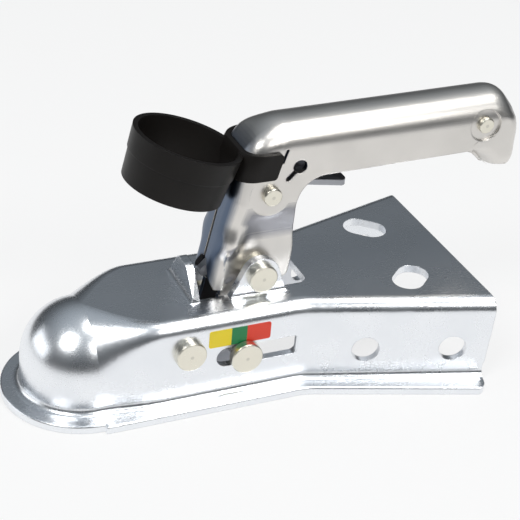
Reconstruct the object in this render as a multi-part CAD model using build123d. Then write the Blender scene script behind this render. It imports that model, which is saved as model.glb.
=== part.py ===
"""Pressed steel ball coupling head for a trailer: housing, sliding jaw, lever, safety catch and cap holder.

Millimetres. The origin is the centre of the tow ball, +X runs back to the drawbar, +Z is up.
"""
from math import atan2, cos, degrees, hypot, pi, radians, sin, sqrt, tan
import os

from build123d import *

# Ball socket and sheet
BALL_RADIUS = 25.0
BALL_PLAY = 0.25
SHEET = 4.0

# Housing: channel behind the dome, flared rear, flange
CHANNEL_HALF_WIDTH = 32.0
CHANNEL_CORNER = 7.5
DOME_BLEND_LENGTH = 30.0
DOME_BLEND_STATIONS = (0.1, 0.22, 0.38, 0.55, 0.72, 0.87, 1.0)
DOME_BLEND_EASE = 1.6
DOME_CROWN = 2.0
FLARE_START = 102.0
FLARE_ANGLE = 16.1
FLARE_BEND_RADIUS = 28.0
FLARE_BEND_STATIONS = (0.0, 0.33, 0.67, 1.0)
HOUSING_REAR = 194.5
REAR_LEAN = 2.5
SKIRT_DEPTH = 14.2
BRIM_REACH = 9.4
FLANGE_REACH = 9.0
FLANGE_REAR_REACH = 11.8
BRIM_STEP_CORNER = 1.0
FLANGE_ROOT_RADIUS = 3.6
FLANGE_FOLD_RADIUS = 3.5
FLANGE_EDGE_RADIUS = 1.2
FLANGE_CORNER = 6.0
CORNER_SHARE = 0.94

# Bolt holes of the flared rear
SIDE_BOLT_RADIUS = 7.0
SIDE_BOLT_FIRST = 32.5
SIDE_BOLT_SPACING = 44.0
SIDE_BOLT_HEIGHT = 2.0
TOP_SLOT_X = 163.0
TOP_SLOT_Y = 25.3
TOP_SLOT_WIDTH = 16.0
TOP_SLOT_LENGTH = 23.0
TOP_SLOT_ANGLE = 42.0

# Opening in the top plate, ears and front lip
OPENING_FRONT = 54.0
OPENING_REAR = 112.0
OPENING_CORNER = 5.0
EAR_FRONT = 67.0
EAR_REAR = 99.5
EAR_TOP_RADIUS = 9.6
FOLD_RADIUS = 2.5
LIP_HEIGHT = 12.8
LIP_LEAN = 10.0
LIP_FOOT_HALF_WIDTH = 16.0
LIP_TOP_HALF_WIDTH = 11.0
LIP_CORNER = 1.5

# Pins through the walls
RUNNING_PLAY = 0.05
JAW_PIN_X = 43.0
JAW_PIN_Z = 12.7
JAW_PIN_RADIUS = 5.0
JAW_PIN_HEAD_RADIUS = 7.6
SLEEVE_WALL = 1.2
INDICATOR_X = 71.5
INDICATOR_Z = 6.5
INDICATOR_RADIUS = 4.0
INDICATOR_HEAD_RADIUS = 8.0
INDICATOR_HEAD_GAP = 0.8
WALL_HEAD_HEIGHT = 4.0
RIVET_EDGE = 0.8
SLOT_FRONT = 57.3
SLOT_HEIGHT = 10.5
SLOT_REAR_CORNER = 2.6
SLOT_END_PLAY = 1.8

# Lever
PIVOT_X = 84.3
PIVOT_Z = 39.4
PIVOT_RADIUS = 5.0
PIVOT_HEAD_RADIUS = 7.2
PIVOT_HEAD_HEIGHT = 3.6
BUSH_RADIUS = 8.0
BUSH_PLAY = 0.15
LEVER_SHEET = 3.0
LEVER_SWING = 38.0
LEG_FOOT_X = 58.8
LEG_FOOT_Z = 32.0
LEG_LEAN = 11.3
LEG_REAR = 99.0
LEG_KNEE_X = 103.4
LEG_KNEE_Z = 48.0
LEG_KNEE_ROUND = 30.0
LEG_HEEL_X = 101.4
LEG_HEEL_ROUND = 4.0
LEG_SET_IN = 2.0
LEG_SIDE_GAP = 0.5
LEG_TAPER_LOW = 60.0
LEG_TAPER_HIGH = 77.0
LEG_TAPER_ROUND = 12.0
LEG_SLIT_WIDTH = 2.0
LEG_SLIT_TOP = 79.0
LEG_NOTCH_TOP = 44.6
LEG_NOTCH_TOP_HALF_WIDTH = 2.8
LEG_NOTCH_FOOT_HALF_WIDTH = 11.5
ARM_HALF_WIDTH = 10.0
ARM_FRONT = 68.0
JOGGLE_FRONT = 66.5
JOGGLE_TOP = 51.5
JOGGLE_SLOPE = 40.0
GRIP_TOP = 116.0
GRIP_BOTTOM = 88.0
GRIP_BOTTOM_RISE = 5.5
GRIP_END = 226.0
GRIP_HALF_WIDTH = 15.0
GRIP_EDGE_RADIUS = 7.95
OUTER_BEND_RADIUS = 26.0
INNER_BEND_RADIUS = 15.0
GRIP_END_RADIUS = 20.0
LOBE_BOTTOM = 80.0
LOBE_LENGTH = 25.5
LOBE_SLANT = 4.0
LOBE_RADIUS = 8.5
LOBE_SHEAR = 0.5
FORK_TIP_RADIUS = 9.5
FORK_PLAY = 0.7
FORK_END_PLAY = 0.5
KEYHOLE_X = 100.8
KEYHOLE_Z = 95.0
KEYHOLE_RADIUS = 3.6
KEYHOLE_SLOT_WIDTH = 2.6
KEYHOLE_SLOT_LENGTH = 9.3
KEYHOLE_SLOT_ANGLE = 225.0
HOOK_SLIT_X = 92.6
HOOK_SLIT_Z = 101.5
HOOK_SLIT_LENGTH = 8.0
HOOK_SLIT_WIDTH = 1.4
HOOK_SLIT_ANGLE = 72.0

# Safety catch in the leg
CATCH_X = 87.0
CATCH_Z = 82.0
CATCH_PIN_RADIUS = 3.2
CATCH_HEAD_RADIUS = 4.6
CATCH_HEAD_HEIGHT = 3.0
CATCH_PAD_RADIUS = 11.0
CATCH_HUB_RADIUS = 7.5
CATCH_THICKNESS = 4.0
CATCH_ELBOW_X = 68.5
CATCH_ELBOW_Z = 44.0
CATCH_ELBOW_RADIUS = 3.0
CATCH_NOSE_X = 61.0
CATCH_NOSE_Z = 37.0
CATCH_NOSE_RADIUS = 2.4
TONGUE_FRONT = 111.0
TONGUE_REAR = 129.0
TONGUE_TOP = 82.0
TONGUE_THICKNESS = 3.0
TONGUE_HALF_WIDTH = 10.5
TONGUE_CORNER = 3.0
SPACER_WALL = 1.4
SPACER_PLAY = 0.2
CATCH_WIRE_RADIUS = 0.6
CATCH_COIL_PITCH = 1.5
CATCH_COIL_TURNS = 3
CATCH_LEG_LENGTH = 9.0

# Dished boss and rivet at the end of the grip
END_PIN_X = 200.3
END_PIN_Z = 103.6
END_PIN_RADIUS = 3.0
END_HEAD_RADIUS = 4.1
END_HEAD_HEIGHT = 2.2
DISH_RADIUS = 8.5
DISH_DEPTH = 1.2

# Sliding jaw
JAW_WALL = 8.5
JAW_HALF_WIDTH = 21.0
JAW_BOTTOM = -13.0
JAW_FRONT = 10.0
CHEEK_THICKNESS = 4.0
CHEEK_BOTTOM = -8.0
CHEEK_TIP_RADIUS = 9.0
SLEEVE_GAP = 0.5

# Jaw springs
SPRING_SIDE_GAP = 0.8
SPRING_RADIUS = 3.4
SPRING_WIRE_RADIUS = 0.8
SPRING_TURNS = 5
WIRE_SIDES = 6
SPRING_LOOP_PLAY = 0.25

# Cap holder
RING_X = 49.8
RING_Z = 109.2
RING_TILT = 16.5
RING_RADIUS = 26.4
RING_FOOT_RADIUS = 24.8
RING_HEIGHT = 24.7
RING_WALL = 2.4
RING_BAND_SHARE = 0.45
RING_BAND_STEP = 0.5
RING_LEDGE = 1.6
CLIP_WALL = 2.2
CLIP_PLAY = 0.2
CLIP_LOW = 91.0
CLIP_HIGH = 104.0
CLIP_REAR = 91.5
CLIP_END_LEAN = 15.0
CLIP_CORNER = 2.0

# Sticker on the near wall
LABEL_FRONT = 52.8
LABEL_LENGTH = 31.8
LABEL_BOTTOM = 13.3
LABEL_HEIGHT = 9.4
LABEL_CORNER = 1.2
LABEL_THICKNESS = 0.2

# Worked out from the sizes above
SOCKET_RADIUS = BALL_RADIUS + BALL_PLAY
DOME_RADIUS = SOCKET_RADIUS + SHEET
TOP = DOME_RADIUS
FLANGE_TOP = -SKIRT_DEPTH
BASE = FLANGE_TOP - SHEET
FLARE_SLOPE = tan(radians(FLARE_ANGLE))
INNER_HALF_WIDTH = CHANNEL_HALF_WIDTH - SHEET
SPRING_SPACE = SPRING_SIDE_GAP + SPRING_RADIUS + SPRING_WIRE_RADIUS
SPRING_Y = INNER_HALF_WIDTH - SPRING_SPACE
CHEEK_OUTER = SPRING_Y - SPRING_SPACE
CHEEK_INNER = CHEEK_OUTER - CHEEK_THICKNESS
LEG_HALF_WIDTH = GRIP_HALF_WIDTH - LEG_SET_IN
OPENING_HALF_WIDTH = LEG_HALF_WIDTH + LEG_SIDE_GAP
SLEEVE_RADIUS = JAW_PIN_RADIUS + RUNNING_PLAY + SLEEVE_WALL
EAR_OUTER = OPENING_HALF_WIDTH + SHEET
FORK_REACH = hypot(INDICATOR_X - PIVOT_X, INDICATOR_Z - PIVOT_Z)
FORK_DROP = PIVOT_Z - INDICATOR_Z
FORK_ANGLE = atan2(INDICATOR_X - PIVOT_X, FORK_DROP)
JAW_TRAVEL = FORK_DROP * (tan(radians(LEVER_SWING) + FORK_ANGLE) - tan(FORK_ANGLE))
JAW_TOP = JAW_PIN_Z - SLEEVE_RADIUS - SLEEVE_GAP
SLOT_REAR = INDICATOR_X + JAW_TRAVEL + INDICATOR_RADIUS + SLOT_END_PLAY

# How far cutters run past the faces they cut, and what counts as the same place or as running along an axis
PAST = 5.0
SAME_PLACE = 0.01
ALONG = 0.9


def on_y(x, z, y=0.0):
    """Plane through a point of the side view, facing -Y, with local x along +X and local y along +Z."""
    return Plane(origin=(x, y, z), x_dir=(1, 0, 0), z_dir=(0, -1, 0))


def across(x, z, radius, low, high):
    """Round bar along Y between two Y values."""
    return extrude(on_y(x, z, high) * Circle(radius), high - low)


def side_slab(sketch, low, high):
    """Side-view sketch in X and Z, made solid between two Y values."""
    return extrude(on_y(0, 0, high) * sketch, high - low)


def rounded(corners):
    """Closed outline through (x, y, radius) corners."""
    outline = make_face(Polyline(*[(x, y) for x, y, radius in corners], close=True))
    for x, y, radius in corners:
        if radius:
            outline = fillet(outline.vertices().sort_by_distance(Vector(x, y))[0], radius)
    return outline


def link(x1, z1, radius1, x2, z2, radius2):
    """Side-view outline drawn tight round two circles."""
    circles = Pos(x1, z1) * Circle(radius1) + Pos(x2, z2) * Circle(radius2)
    return make_hull(circles.edges())


def mirrored(part):
    """The part and its mirror image on the other side."""
    return part + mirror(part, Plane.XZ)


def rivet(x, z, radius, seat, head_radius, head_height):
    """Rivet across the part with a flat, round-edged head on each side."""
    body = across(x, z, radius, -seat - head_height / 2, seat + head_height / 2)
    head = across(x, z, head_radius, -seat - head_height, -seat)
    outer_rim = head.edges().filter_by(GeomType.CIRCLE).sort_by(Axis.Y)[0]
    return body + mirrored(fillet(outer_rim, RIVET_EDGE))


def tube(x, z, radius, bore, low, high):
    """Round tube along Y."""
    return across(x, z, radius, low, high) - across(x, z, bore, low, high)


# Housing


def arch(x, half, top, corner, bottom, crown=0.0):
    """Upright section of the channel at x, with round top corners and an optional crowned top."""
    turn = corner * (1.0 - sin(crown))
    rise = corner * (1.0 - cos(crown))
    middle = (pi / 2 - crown) / 2
    start = (-half, top - corner)
    end = (-half + turn, top - rise)
    bulge = (-half + corner * (1.0 - cos(middle)), top - corner + corner * sin(middle))
    left = Line((-half, bottom), start)
    shoulder = ThreePointArc(start, bulge, end)
    if crown:
        lid = ThreePointArc(end, (0, top), (-end[0], end[1]))
    else:
        lid = Line(end, (-end[0], end[1]))
    far_shoulder = ThreePointArc((-end[0], end[1]), (-bulge[0], bulge[1]), (half, top - corner))
    right = Line((half, top - corner), (half, bottom))
    floor = Line((half, bottom), (-half, bottom))
    return Plane.YZ.offset(x) * make_face([left, shoulder, lid, far_shoulder, right, floor])


def flare_half_width(x, half):
    """Half width of the channel at x, with the bend into the flare rounded."""
    reach = FLARE_BEND_RADIUS * tan(radians(FLARE_ANGLE) / 2)
    run = x - (FLARE_START - reach)
    if run <= 0:
        return half
    if run < FLARE_BEND_RADIUS * sin(radians(FLARE_ANGLE)):
        return half + FLARE_BEND_RADIUS - sqrt(FLARE_BEND_RADIUS**2 - run**2)
    return half + (x - FLARE_START) * FLARE_SLOPE


def channel_form(inset, bottom, rear):
    """Solid of the dome and channel, drawn in by inset on every side but the bottom and the rear."""
    radius = DOME_RADIUS - inset
    top = TOP - inset
    half = CHANNEL_HALF_WIDTH - inset
    corner = CHANNEL_CORNER - inset
    dome_side = make_face(
        [
            Line((0, bottom), (-radius, bottom)),
            Line((-radius, bottom), (-radius, 0)),
            ThreePointArc((-radius, 0), (-radius * sin(radians(45)), radius * sin(radians(45))), (0, radius)),
            Line((0, radius), (0, bottom)),
        ]
    )
    dome_half = split(revolve(on_y(0, 0) * dome_side, Axis.Z, 360), Plane.YZ, keep=Keep.BOTTOM)
    sections = [arch(0, radius, top, radius, bottom, crown=radians(DOME_CROWN))]
    for share in DOME_BLEND_STATIONS:
        ease = (1.0 - share) ** DOME_BLEND_EASE
        width = radius + (half - radius) * share**2 * (3.0 - 2.0 * share)
        shoulder = corner + (radius - corner) * ease
        sections.append(arch(DOME_BLEND_LENGTH * share, width, top, shoulder, bottom))
    blend = loft(sections)
    reach = FLARE_BEND_RADIUS * tan(radians(FLARE_ANGLE) / 2)
    bend_start = FLARE_START - reach
    bend_end = bend_start + FLARE_BEND_RADIUS * sin(radians(FLARE_ANGLE))
    steps = [bend_start + (bend_end - bend_start) * share for share in FLARE_BEND_STATIONS]
    straight_ends = [arch(x, half, top, corner, bottom) for x in (DOME_BLEND_LENGTH, bend_start)]
    bend_sections = [arch(x, flare_half_width(x, half), top, corner, bottom) for x in steps]
    flare_ends = [arch(x, flare_half_width(x, half), top, corner, bottom) for x in (bend_end, rear)]
    straight = loft(straight_ends, ruled=True)
    bend = loft(bend_sections)
    flare = loft(flare_ends, ruled=True)
    return dome_half + blend + straight + bend + flare


def flange_plan():
    """Outline of the brim and flange seen from above, run on past the rear end."""
    side_y = CHANNEL_HALF_WIDTH + FLANGE_REACH
    tip_x, tip_y = flange_tip(HOUSING_REAR + 2 * PAST)
    half = rounded(
        [
            (0, 0, 0),
            (0, side_y, BRIM_STEP_CORNER),
            (FLARE_START, side_y, FLARE_BEND_RADIUS),
            (tip_x, tip_y, 0),
            (tip_x, 0, 0),
        ]
    )
    brim = DOME_RADIUS + BRIM_REACH
    plan = Circle(brim) + half + mirror(half, Plane.XZ)
    notches = [plan.vertices().sort_by_distance(Vector(0, y))[0] for y in (-brim, brim)]
    return fillet(notches, BRIM_STEP_CORNER)


def flange_tip(wall_x):
    """Point on the outer edge of the flange straight out from the place on the flared wall at wall_x."""
    slant = radians(FLARE_ANGLE)
    length = (HOUSING_REAR - FLARE_START) / cos(slant)
    share = (wall_x - FLARE_START) / cos(slant) / length
    reach = FLANGE_REACH + (FLANGE_REAR_REACH - FLANGE_REACH) * share
    wall_y = CHANNEL_HALF_WIDTH + (wall_x - FLARE_START) * FLARE_SLOPE
    return wall_x - reach * sin(slant), wall_y + reach * cos(slant)


def flange_end_cut():
    """Cutter that ends the far flange square to the flared wall, with a round outer corner."""
    wall_x = HOUSING_REAR - REAR_LEAN
    corner = (wall_x, CHANNEL_HALF_WIDTH + (wall_x - FLARE_START) * FLARE_SLOPE)
    length = 4 * FLANGE_REACH
    to_corner = (Align.MIN, Align.MIN)
    square = Pos(0, -SHEET / 2) * Rectangle(length, length, align=to_corner)
    centre = Pos(-FLANGE_CORNER, FLANGE_REAR_REACH - CORNER_SHARE * FLANGE_CORNER)
    tip = centre * (Rectangle(length, length, align=to_corner) - Circle(FLANGE_CORNER))
    plan = Pos(*corner) * Rot(0, 0, FLARE_ANGLE) * (square + tip)
    return extrude(Plane.XY.offset(BASE - PAST) * plan, PAST + SHEET + 2 * FLANGE_ROOT_RADIUS)


def ear():
    """Upright lug for the lever pivot, folded up out of the near edge of the top opening."""
    foot = TOP - SHEET
    outline = make_hull(
        [
            *(Pos(PIVOT_X, PIVOT_Z) * Circle(EAR_TOP_RADIUS)).edges(),
            Line((EAR_FRONT, foot), (EAR_REAR, foot)),
        ]
    )
    return side_slab(outline, -EAR_OUTER, -OPENING_HALF_WIDTH)


def front_lip():
    """Flap folded up at the front of the top opening, narrower towards its top."""
    lean = radians(LIP_LEAN)
    front = OPENING_FRONT - SHEET / cos(lean)
    back_step = LIP_HEIGHT * tan(lean)
    lip_top = TOP + LIP_HEIGHT
    foot = TOP - SHEET / 2
    fold = rounded(
        [
            (OPENING_FRONT, foot, 0),
            (OPENING_FRONT, TOP, 0),
            (OPENING_FRONT + back_step, lip_top, 0),
            (front + back_step, lip_top, 0),
            (front, TOP, FOLD_RADIUS),
            (front - 2 * FOLD_RADIUS, TOP, 0),
            (front - 2 * FOLD_RADIUS, foot, 0),
        ]
    )
    outline = rounded(
        [
            (-LIP_FOOT_HALF_WIDTH, foot, 0),
            (LIP_FOOT_HALF_WIDTH, foot, 0),
            (LIP_FOOT_HALF_WIDTH, TOP, 0),
            (LIP_TOP_HALF_WIDTH, lip_top, LIP_CORNER),
            (-LIP_TOP_HALF_WIDTH, lip_top, LIP_CORNER),
            (-LIP_FOOT_HALF_WIDTH, TOP, 0),
        ]
    )
    flap = side_slab(fold, -LIP_FOOT_HALF_WIDTH, LIP_FOOT_HALF_WIDTH)
    return flap & extrude(Plane.YZ * outline, OPENING_FRONT + back_step)


def wall_slot():
    """Slot for the indicator pin, round in front and squarer at the rear."""
    half = SLOT_HEIGHT / 2
    round_x = SLOT_FRONT + half
    run = rounded(
        [
            (round_x, INDICATOR_Z - half, 0),
            (SLOT_REAR, INDICATOR_Z - half, SLOT_REAR_CORNER),
            (SLOT_REAR, INDICATOR_Z + half, SLOT_REAR_CORNER),
            (round_x, INDICATOR_Z + half, 0),
        ]
    )
    return run + Pos(round_x, INDICATOR_Z) * Circle(half)


def side_bolt_hole(distance):
    """Cutter for a bolt hole square through the near flared wall."""
    slant = radians(FLARE_ANGLE)
    centre = (
        FLARE_START + distance * cos(slant),
        -CHANNEL_HALF_WIDTH - distance * sin(slant),
        SIDE_BOLT_HEIGHT,
    )
    square = Plane(origin=centre, z_dir=(-sin(slant), -cos(slant), 0))
    return extrude(square * Circle(SIDE_BOLT_RADIUS), 2 * SHEET, both=True)


def housing():
    """One pressed sheet: dome, channel, flared rear, flange, ears and lip."""
    outer = channel_form(0.0, BASE, HOUSING_REAR + PAST)
    inner = channel_form(SHEET, BASE - PAST, HOUSING_REAR + 3 * PAST)
    flange = extrude(Plane.XY.offset(BASE) * flange_plan(), SHEET)
    body = outer + flange
    body = fillet(body.edges().filter_by(is_flange_root), FLANGE_ROOT_RADIUS)
    body = fillet(body.edges().filter_by(is_flange_rim), FLANGE_EDGE_RADIUS)
    body = body - inner
    body = fillet(body.edges().filter_by(is_fold_edge), FLANGE_FOLD_RADIUS)
    rear_wedge = make_face(
        Polyline(
            (HOUSING_REAR, TOP),
            (HOUSING_REAR - REAR_LEAN, BASE),
            (HOUSING_REAR + 4 * PAST, BASE),
            (HOUSING_REAR + 4 * PAST, TOP),
            close=True,
        )
    )
    body -= side_slab(rear_wedge, -3 * CHANNEL_HALF_WIDTH, 3 * CHANNEL_HALF_WIDTH)
    body -= mirrored(flange_end_cut())
    opening = rounded(
        [
            (OPENING_FRONT, -OPENING_HALF_WIDTH, 0),
            (OPENING_REAR, -OPENING_HALF_WIDTH, OPENING_CORNER),
            (OPENING_REAR, OPENING_HALF_WIDTH, OPENING_CORNER),
            (OPENING_FRONT, OPENING_HALF_WIDTH, 0),
        ]
    )
    body -= extrude(Plane.XY.offset(TOP - SHEET) * opening, 2 * SHEET, both=True)
    body += mirrored(ear()) + front_lip()
    body = fillet(body.edges().filter_by(Axis.X).filter_by(is_ear_root), FOLD_RADIUS)
    top_slot = Pos(TOP_SLOT_X, -TOP_SLOT_Y) * Rot(0, 0, TOP_SLOT_ANGLE)
    top_slot *= SlotOverall(TOP_SLOT_LENGTH, TOP_SLOT_WIDTH)
    body -= mirrored(extrude(Plane.XY.offset(TOP) * top_slot, 2 * SHEET, both=True))
    wall = CHANNEL_HALF_WIDTH
    body -= side_slab(wall_slot(), -wall, wall)
    body -= across(JAW_PIN_X, JAW_PIN_Z, JAW_PIN_RADIUS + RUNNING_PLAY, -wall, wall)
    body -= across(PIVOT_X, PIVOT_Z, PIVOT_RADIUS + RUNNING_PLAY, -EAR_OUTER, EAR_OUTER)
    for distance in (SIDE_BOLT_FIRST, SIDE_BOLT_FIRST + SIDE_BOLT_SPACING):
        body -= mirrored(side_bolt_hole(distance))
    return body


def is_fold_edge(edge):
    """True for a lower edge along the inside of the walls."""
    middle = edge.position_at(0.5)
    if abs(middle.Z - BASE) > SAME_PLACE:
        return False
    if abs(edge.tangent_at(0.5).Y) > ALONG and middle.X > FLARE_START:
        return False
    if middle.X < 0:
        return hypot(middle.X, middle.Y) < DOME_RADIUS
    return 1 < abs(middle.Y) < flare_half_width(middle.X, CHANNEL_HALF_WIDTH)


def is_ear_root(edge):
    """True for the edge where the outside of an ear stands on the top plate."""
    middle = edge.center()
    return abs(abs(middle.Y) - EAR_OUTER) < SAME_PLACE and abs(middle.Z - TOP) < SAME_PLACE


def flange_offset(edge):
    """How far an edge on the top of the flange lies out from the wall, or None for any other edge."""
    level = edge.bounding_box()
    middle = edge.position_at(0.5)
    if max(abs(level.min.Z - FLANGE_TOP), abs(level.max.Z - FLANGE_TOP)) > SAME_PLACE:
        return None
    if abs(edge.tangent_at(0.5).Y) > ALONG and middle.X > FLARE_START:
        return None
    if middle.X < 0:
        return hypot(middle.X, middle.Y) - DOME_RADIUS
    return abs(middle.Y) - flare_half_width(middle.X, CHANNEL_HALF_WIDTH)


def is_flange_root(edge):
    """True for an edge where the outside of the walls stands on the flange."""
    offset = flange_offset(edge)
    return offset is not None and abs(offset) < BRIM_REACH / 2


def is_flange_rim(edge):
    """True for an outer edge along the top of the brim and flange."""
    offset = flange_offset(edge)
    return offset is not None and offset > FLANGE_ROOT_RADIUS + FLANGE_EDGE_RADIUS


# Lever


def open_edge(overrun):
    """Corners of the open side of the lever from the lobe to the heel, moved out by overrun."""
    lobe_front = GRIP_END - LOBE_LENGTH - overrun
    return [
        (lobe_front - LOBE_SLANT, GRIP_BOTTOM + GRIP_BOTTOM_RISE - overrun, LOBE_SLANT),
        (LEG_REAR + overrun, GRIP_BOTTOM - overrun, INNER_BEND_RADIUS),
        (LEG_KNEE_X + overrun, LEG_KNEE_Z, LEG_KNEE_ROUND),
        (LEG_HEEL_X + overrun, LEG_FOOT_Z - overrun, LEG_HEEL_ROUND),
    ]


def lever_side(inset, overrun):
    """Side outline of the lever, drawn in by inset along the web and grown by overrun on the open side."""
    lean = tan(radians(LEG_LEAN))
    front = LEG_FOOT_X + inset / cos(radians(LEG_LEAN))
    top = GRIP_TOP - inset
    end = GRIP_END - inset
    lobe_bottom = LOBE_BOTTOM + inset
    lobe_radius = LOBE_RADIUS - inset
    return rounded(
        [
            (front - overrun * lean, LEG_FOOT_Z - overrun, 0),
            (front + (top - LEG_FOOT_Z) * lean, top, OUTER_BEND_RADIUS - inset),
            (end, top, GRIP_END_RADIUS - inset),
            (end, lobe_bottom, lobe_radius),
            (GRIP_END - LOBE_LENGTH - overrun, lobe_bottom, lobe_radius),
            *open_edge(overrun),
        ]
    )


def open_side():
    """Cutter that shears the lever along its open edges."""
    below = LEG_FOOT_Z - 4 * PAST
    front = LEG_FOOT_X - 2 * PAST
    beyond = GRIP_END + PAST
    lobe_level = LOBE_BOTTOM - LOBE_SHEAR
    outline = rounded(
        [
            (beyond, lobe_level, 0),
            (GRIP_END - LOBE_LENGTH, lobe_level, LOBE_RADIUS),
            *open_edge(0.0),
            (front, LEG_FOOT_Z, 0),
            (front, below, 0),
            (beyond, below, 0),
        ]
    )
    return side_slab(outline, -2 * GRIP_HALF_WIDTH, 2 * GRIP_HALF_WIDTH)


def lever_front(inset):
    """Front outline of the lever: a narrow leg that widens to the grip."""
    leg = LEG_HALF_WIDTH - inset
    grip = GRIP_HALF_WIDTH - inset
    foot = LEG_FOOT_Z - 2 * PAST
    head = GRIP_TOP + 2 * PAST
    return rounded(
        [
            (-leg, foot, 0),
            (leg, foot, 0),
            (leg, LEG_TAPER_LOW, LEG_TAPER_ROUND),
            (grip, LEG_TAPER_HIGH, LEG_TAPER_ROUND),
            (grip, head, 0),
            (-grip, head, 0),
            (-grip, LEG_TAPER_HIGH, LEG_TAPER_ROUND),
            (-leg, LEG_TAPER_LOW, LEG_TAPER_ROUND),
        ]
    )


def is_web_edge(edge):
    """True for a lengthwise edge between the web of the lever and one of its walls."""
    middle = edge.position_at(0.5)
    if abs(middle.Y) < LEG_HALF_WIDTH / 3 or abs(edge.tangent_at(0.5).Y) > ALONG:
        return False
    in_front = middle.X < (LEG_FOOT_X + LEG_REAR) / 2 and middle.Z > LEG_FOOT_Z - PAST + SAME_PLACE
    above = middle.Z > (GRIP_TOP + GRIP_BOTTOM + GRIP_BOTTOM_RISE) / 2
    behind = middle.X > GRIP_END - LEVER_SHEET - SAME_PLACE
    return in_front or above or behind


def lever_block(inset, overrun):
    """Solid the shape of the lever, drawn in by inset, grown by overrun on the open side, all edges round."""
    half = GRIP_HALF_WIDTH - inset
    block = side_slab(lever_side(inset, overrun), -half, half)
    block &= extrude(Plane.YZ * lever_front(inset), GRIP_END + PAST)
    web_edges = [edge for edge in block.edges() if is_web_edge(edge)]
    return fillet(web_edges, GRIP_EDGE_RADIUS - inset) - mirrored(joggle(inset))


def joggle(inset):
    """Cutter that sets the lower near wall in to the plane of the fork arm, with sloping sides."""
    grow = inset * tan(radians(90 - JOGGLE_SLOPE) / 2)
    front = JOGGLE_FRONT - grow
    top = JOGGLE_TOP + grow
    rear = LEG_KNEE_X + 4 * PAST
    foot = LEG_FOOT_Z - 4 * PAST
    zone = make_face(Polyline((front, top), (rear, top), (rear, foot), (front, foot), close=True))
    inward = Plane(origin=(0, inset - LEG_HALF_WIDTH, 0), x_dir=(1, 0, 0), z_dir=(0, 1, 0))
    return extrude(inward * mirror(zone, Plane.XZ), LEG_HALF_WIDTH - ARM_HALF_WIDTH, taper=JOGGLE_SLOPE)


def fork_slot():
    """Slot of the fork arm in which the indicator pin rides along the arm."""
    near = FORK_DROP - FORK_END_PLAY
    far = FORK_REACH + FORK_END_PLAY
    length = far - near + 2 * (INDICATOR_RADIUS + FORK_PLAY)
    reach = (near + far) / 2
    slot = Rot(0, 0, 90 + degrees(FORK_ANGLE)) * SlotOverall(length, 2 * (INDICATOR_RADIUS + FORK_PLAY))
    return Pos(PIVOT_X + reach * sin(FORK_ANGLE), PIVOT_Z - reach * cos(FORK_ANGLE)) * slot


def fork_arm():
    """Arm below the leg, in the plane of the near wall, that reaches down to the indicator pin."""
    reach = (FORK_DROP + FORK_REACH) / 2
    tip = Pos(PIVOT_X + reach * sin(FORK_ANGLE), PIVOT_Z - reach * cos(FORK_ANGLE)) * Circle(FORK_TIP_RADIUS)
    root = Line((ARM_FRONT, LEG_FOOT_Z + PAST), (LEG_HEEL_X, LEG_FOOT_Z + PAST))
    outline = make_hull([*tip.edges(), root]) - fork_slot()
    return side_slab(outline, -ARM_HALF_WIDTH, LEVER_SHEET - ARM_HALF_WIDTH)


def leg_cuts():
    """Cutter for the slit in the web of the leg and the notch at its foot for the nose of the catch."""
    slit_length = LEG_SLIT_TOP - LEG_FOOT_Z
    slit = Pos(0, LEG_FOOT_Z) * SlotOverall(2 * slit_length, LEG_SLIT_WIDTH, rotation=90)
    spread = (LEG_NOTCH_FOOT_HALF_WIDTH - LEG_NOTCH_TOP_HALF_WIDTH) / (LEG_NOTCH_TOP - LEG_FOOT_Z)
    foot = LEG_NOTCH_FOOT_HALF_WIDTH + PAST * spread
    notch = make_face(
        Polyline(
            (-LEG_NOTCH_TOP_HALF_WIDTH, LEG_NOTCH_TOP),
            (LEG_NOTCH_TOP_HALF_WIDTH, LEG_NOTCH_TOP),
            (foot, LEG_FOOT_Z - PAST),
            (-foot, LEG_FOOT_Z - PAST),
            close=True,
        )
    )
    rise = (LEG_SLIT_TOP - LEG_FOOT_Z) * tan(radians(LEG_LEAN))
    slit_cut = extrude(Plane.YZ * slit, LEG_FOOT_X + rise + 2 * LEVER_SHEET)
    return slit_cut + extrude(Plane.YZ * notch, JOGGLE_FRONT)


def keyhole():
    """Round hole in the walls of the lever with a slot running down and forward from it."""
    tail = Pos(KEYHOLE_SLOT_LENGTH / 2, 0) * SlotOverall(KEYHOLE_SLOT_LENGTH, KEYHOLE_SLOT_WIDTH)
    return Pos(KEYHOLE_X, KEYHOLE_Z) * (Circle(KEYHOLE_RADIUS) + Rot(0, 0, KEYHOLE_SLOT_ANGLE) * tail)


def hook_slit():
    """Narrow slit in the walls of the lever for the spring's end."""
    slit = SlotOverall(HOOK_SLIT_LENGTH, HOOK_SLIT_WIDTH, rotation=HOOK_SLIT_ANGLE)
    return Pos(HOOK_SLIT_X, HOOK_SLIT_Z) * slit


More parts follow.
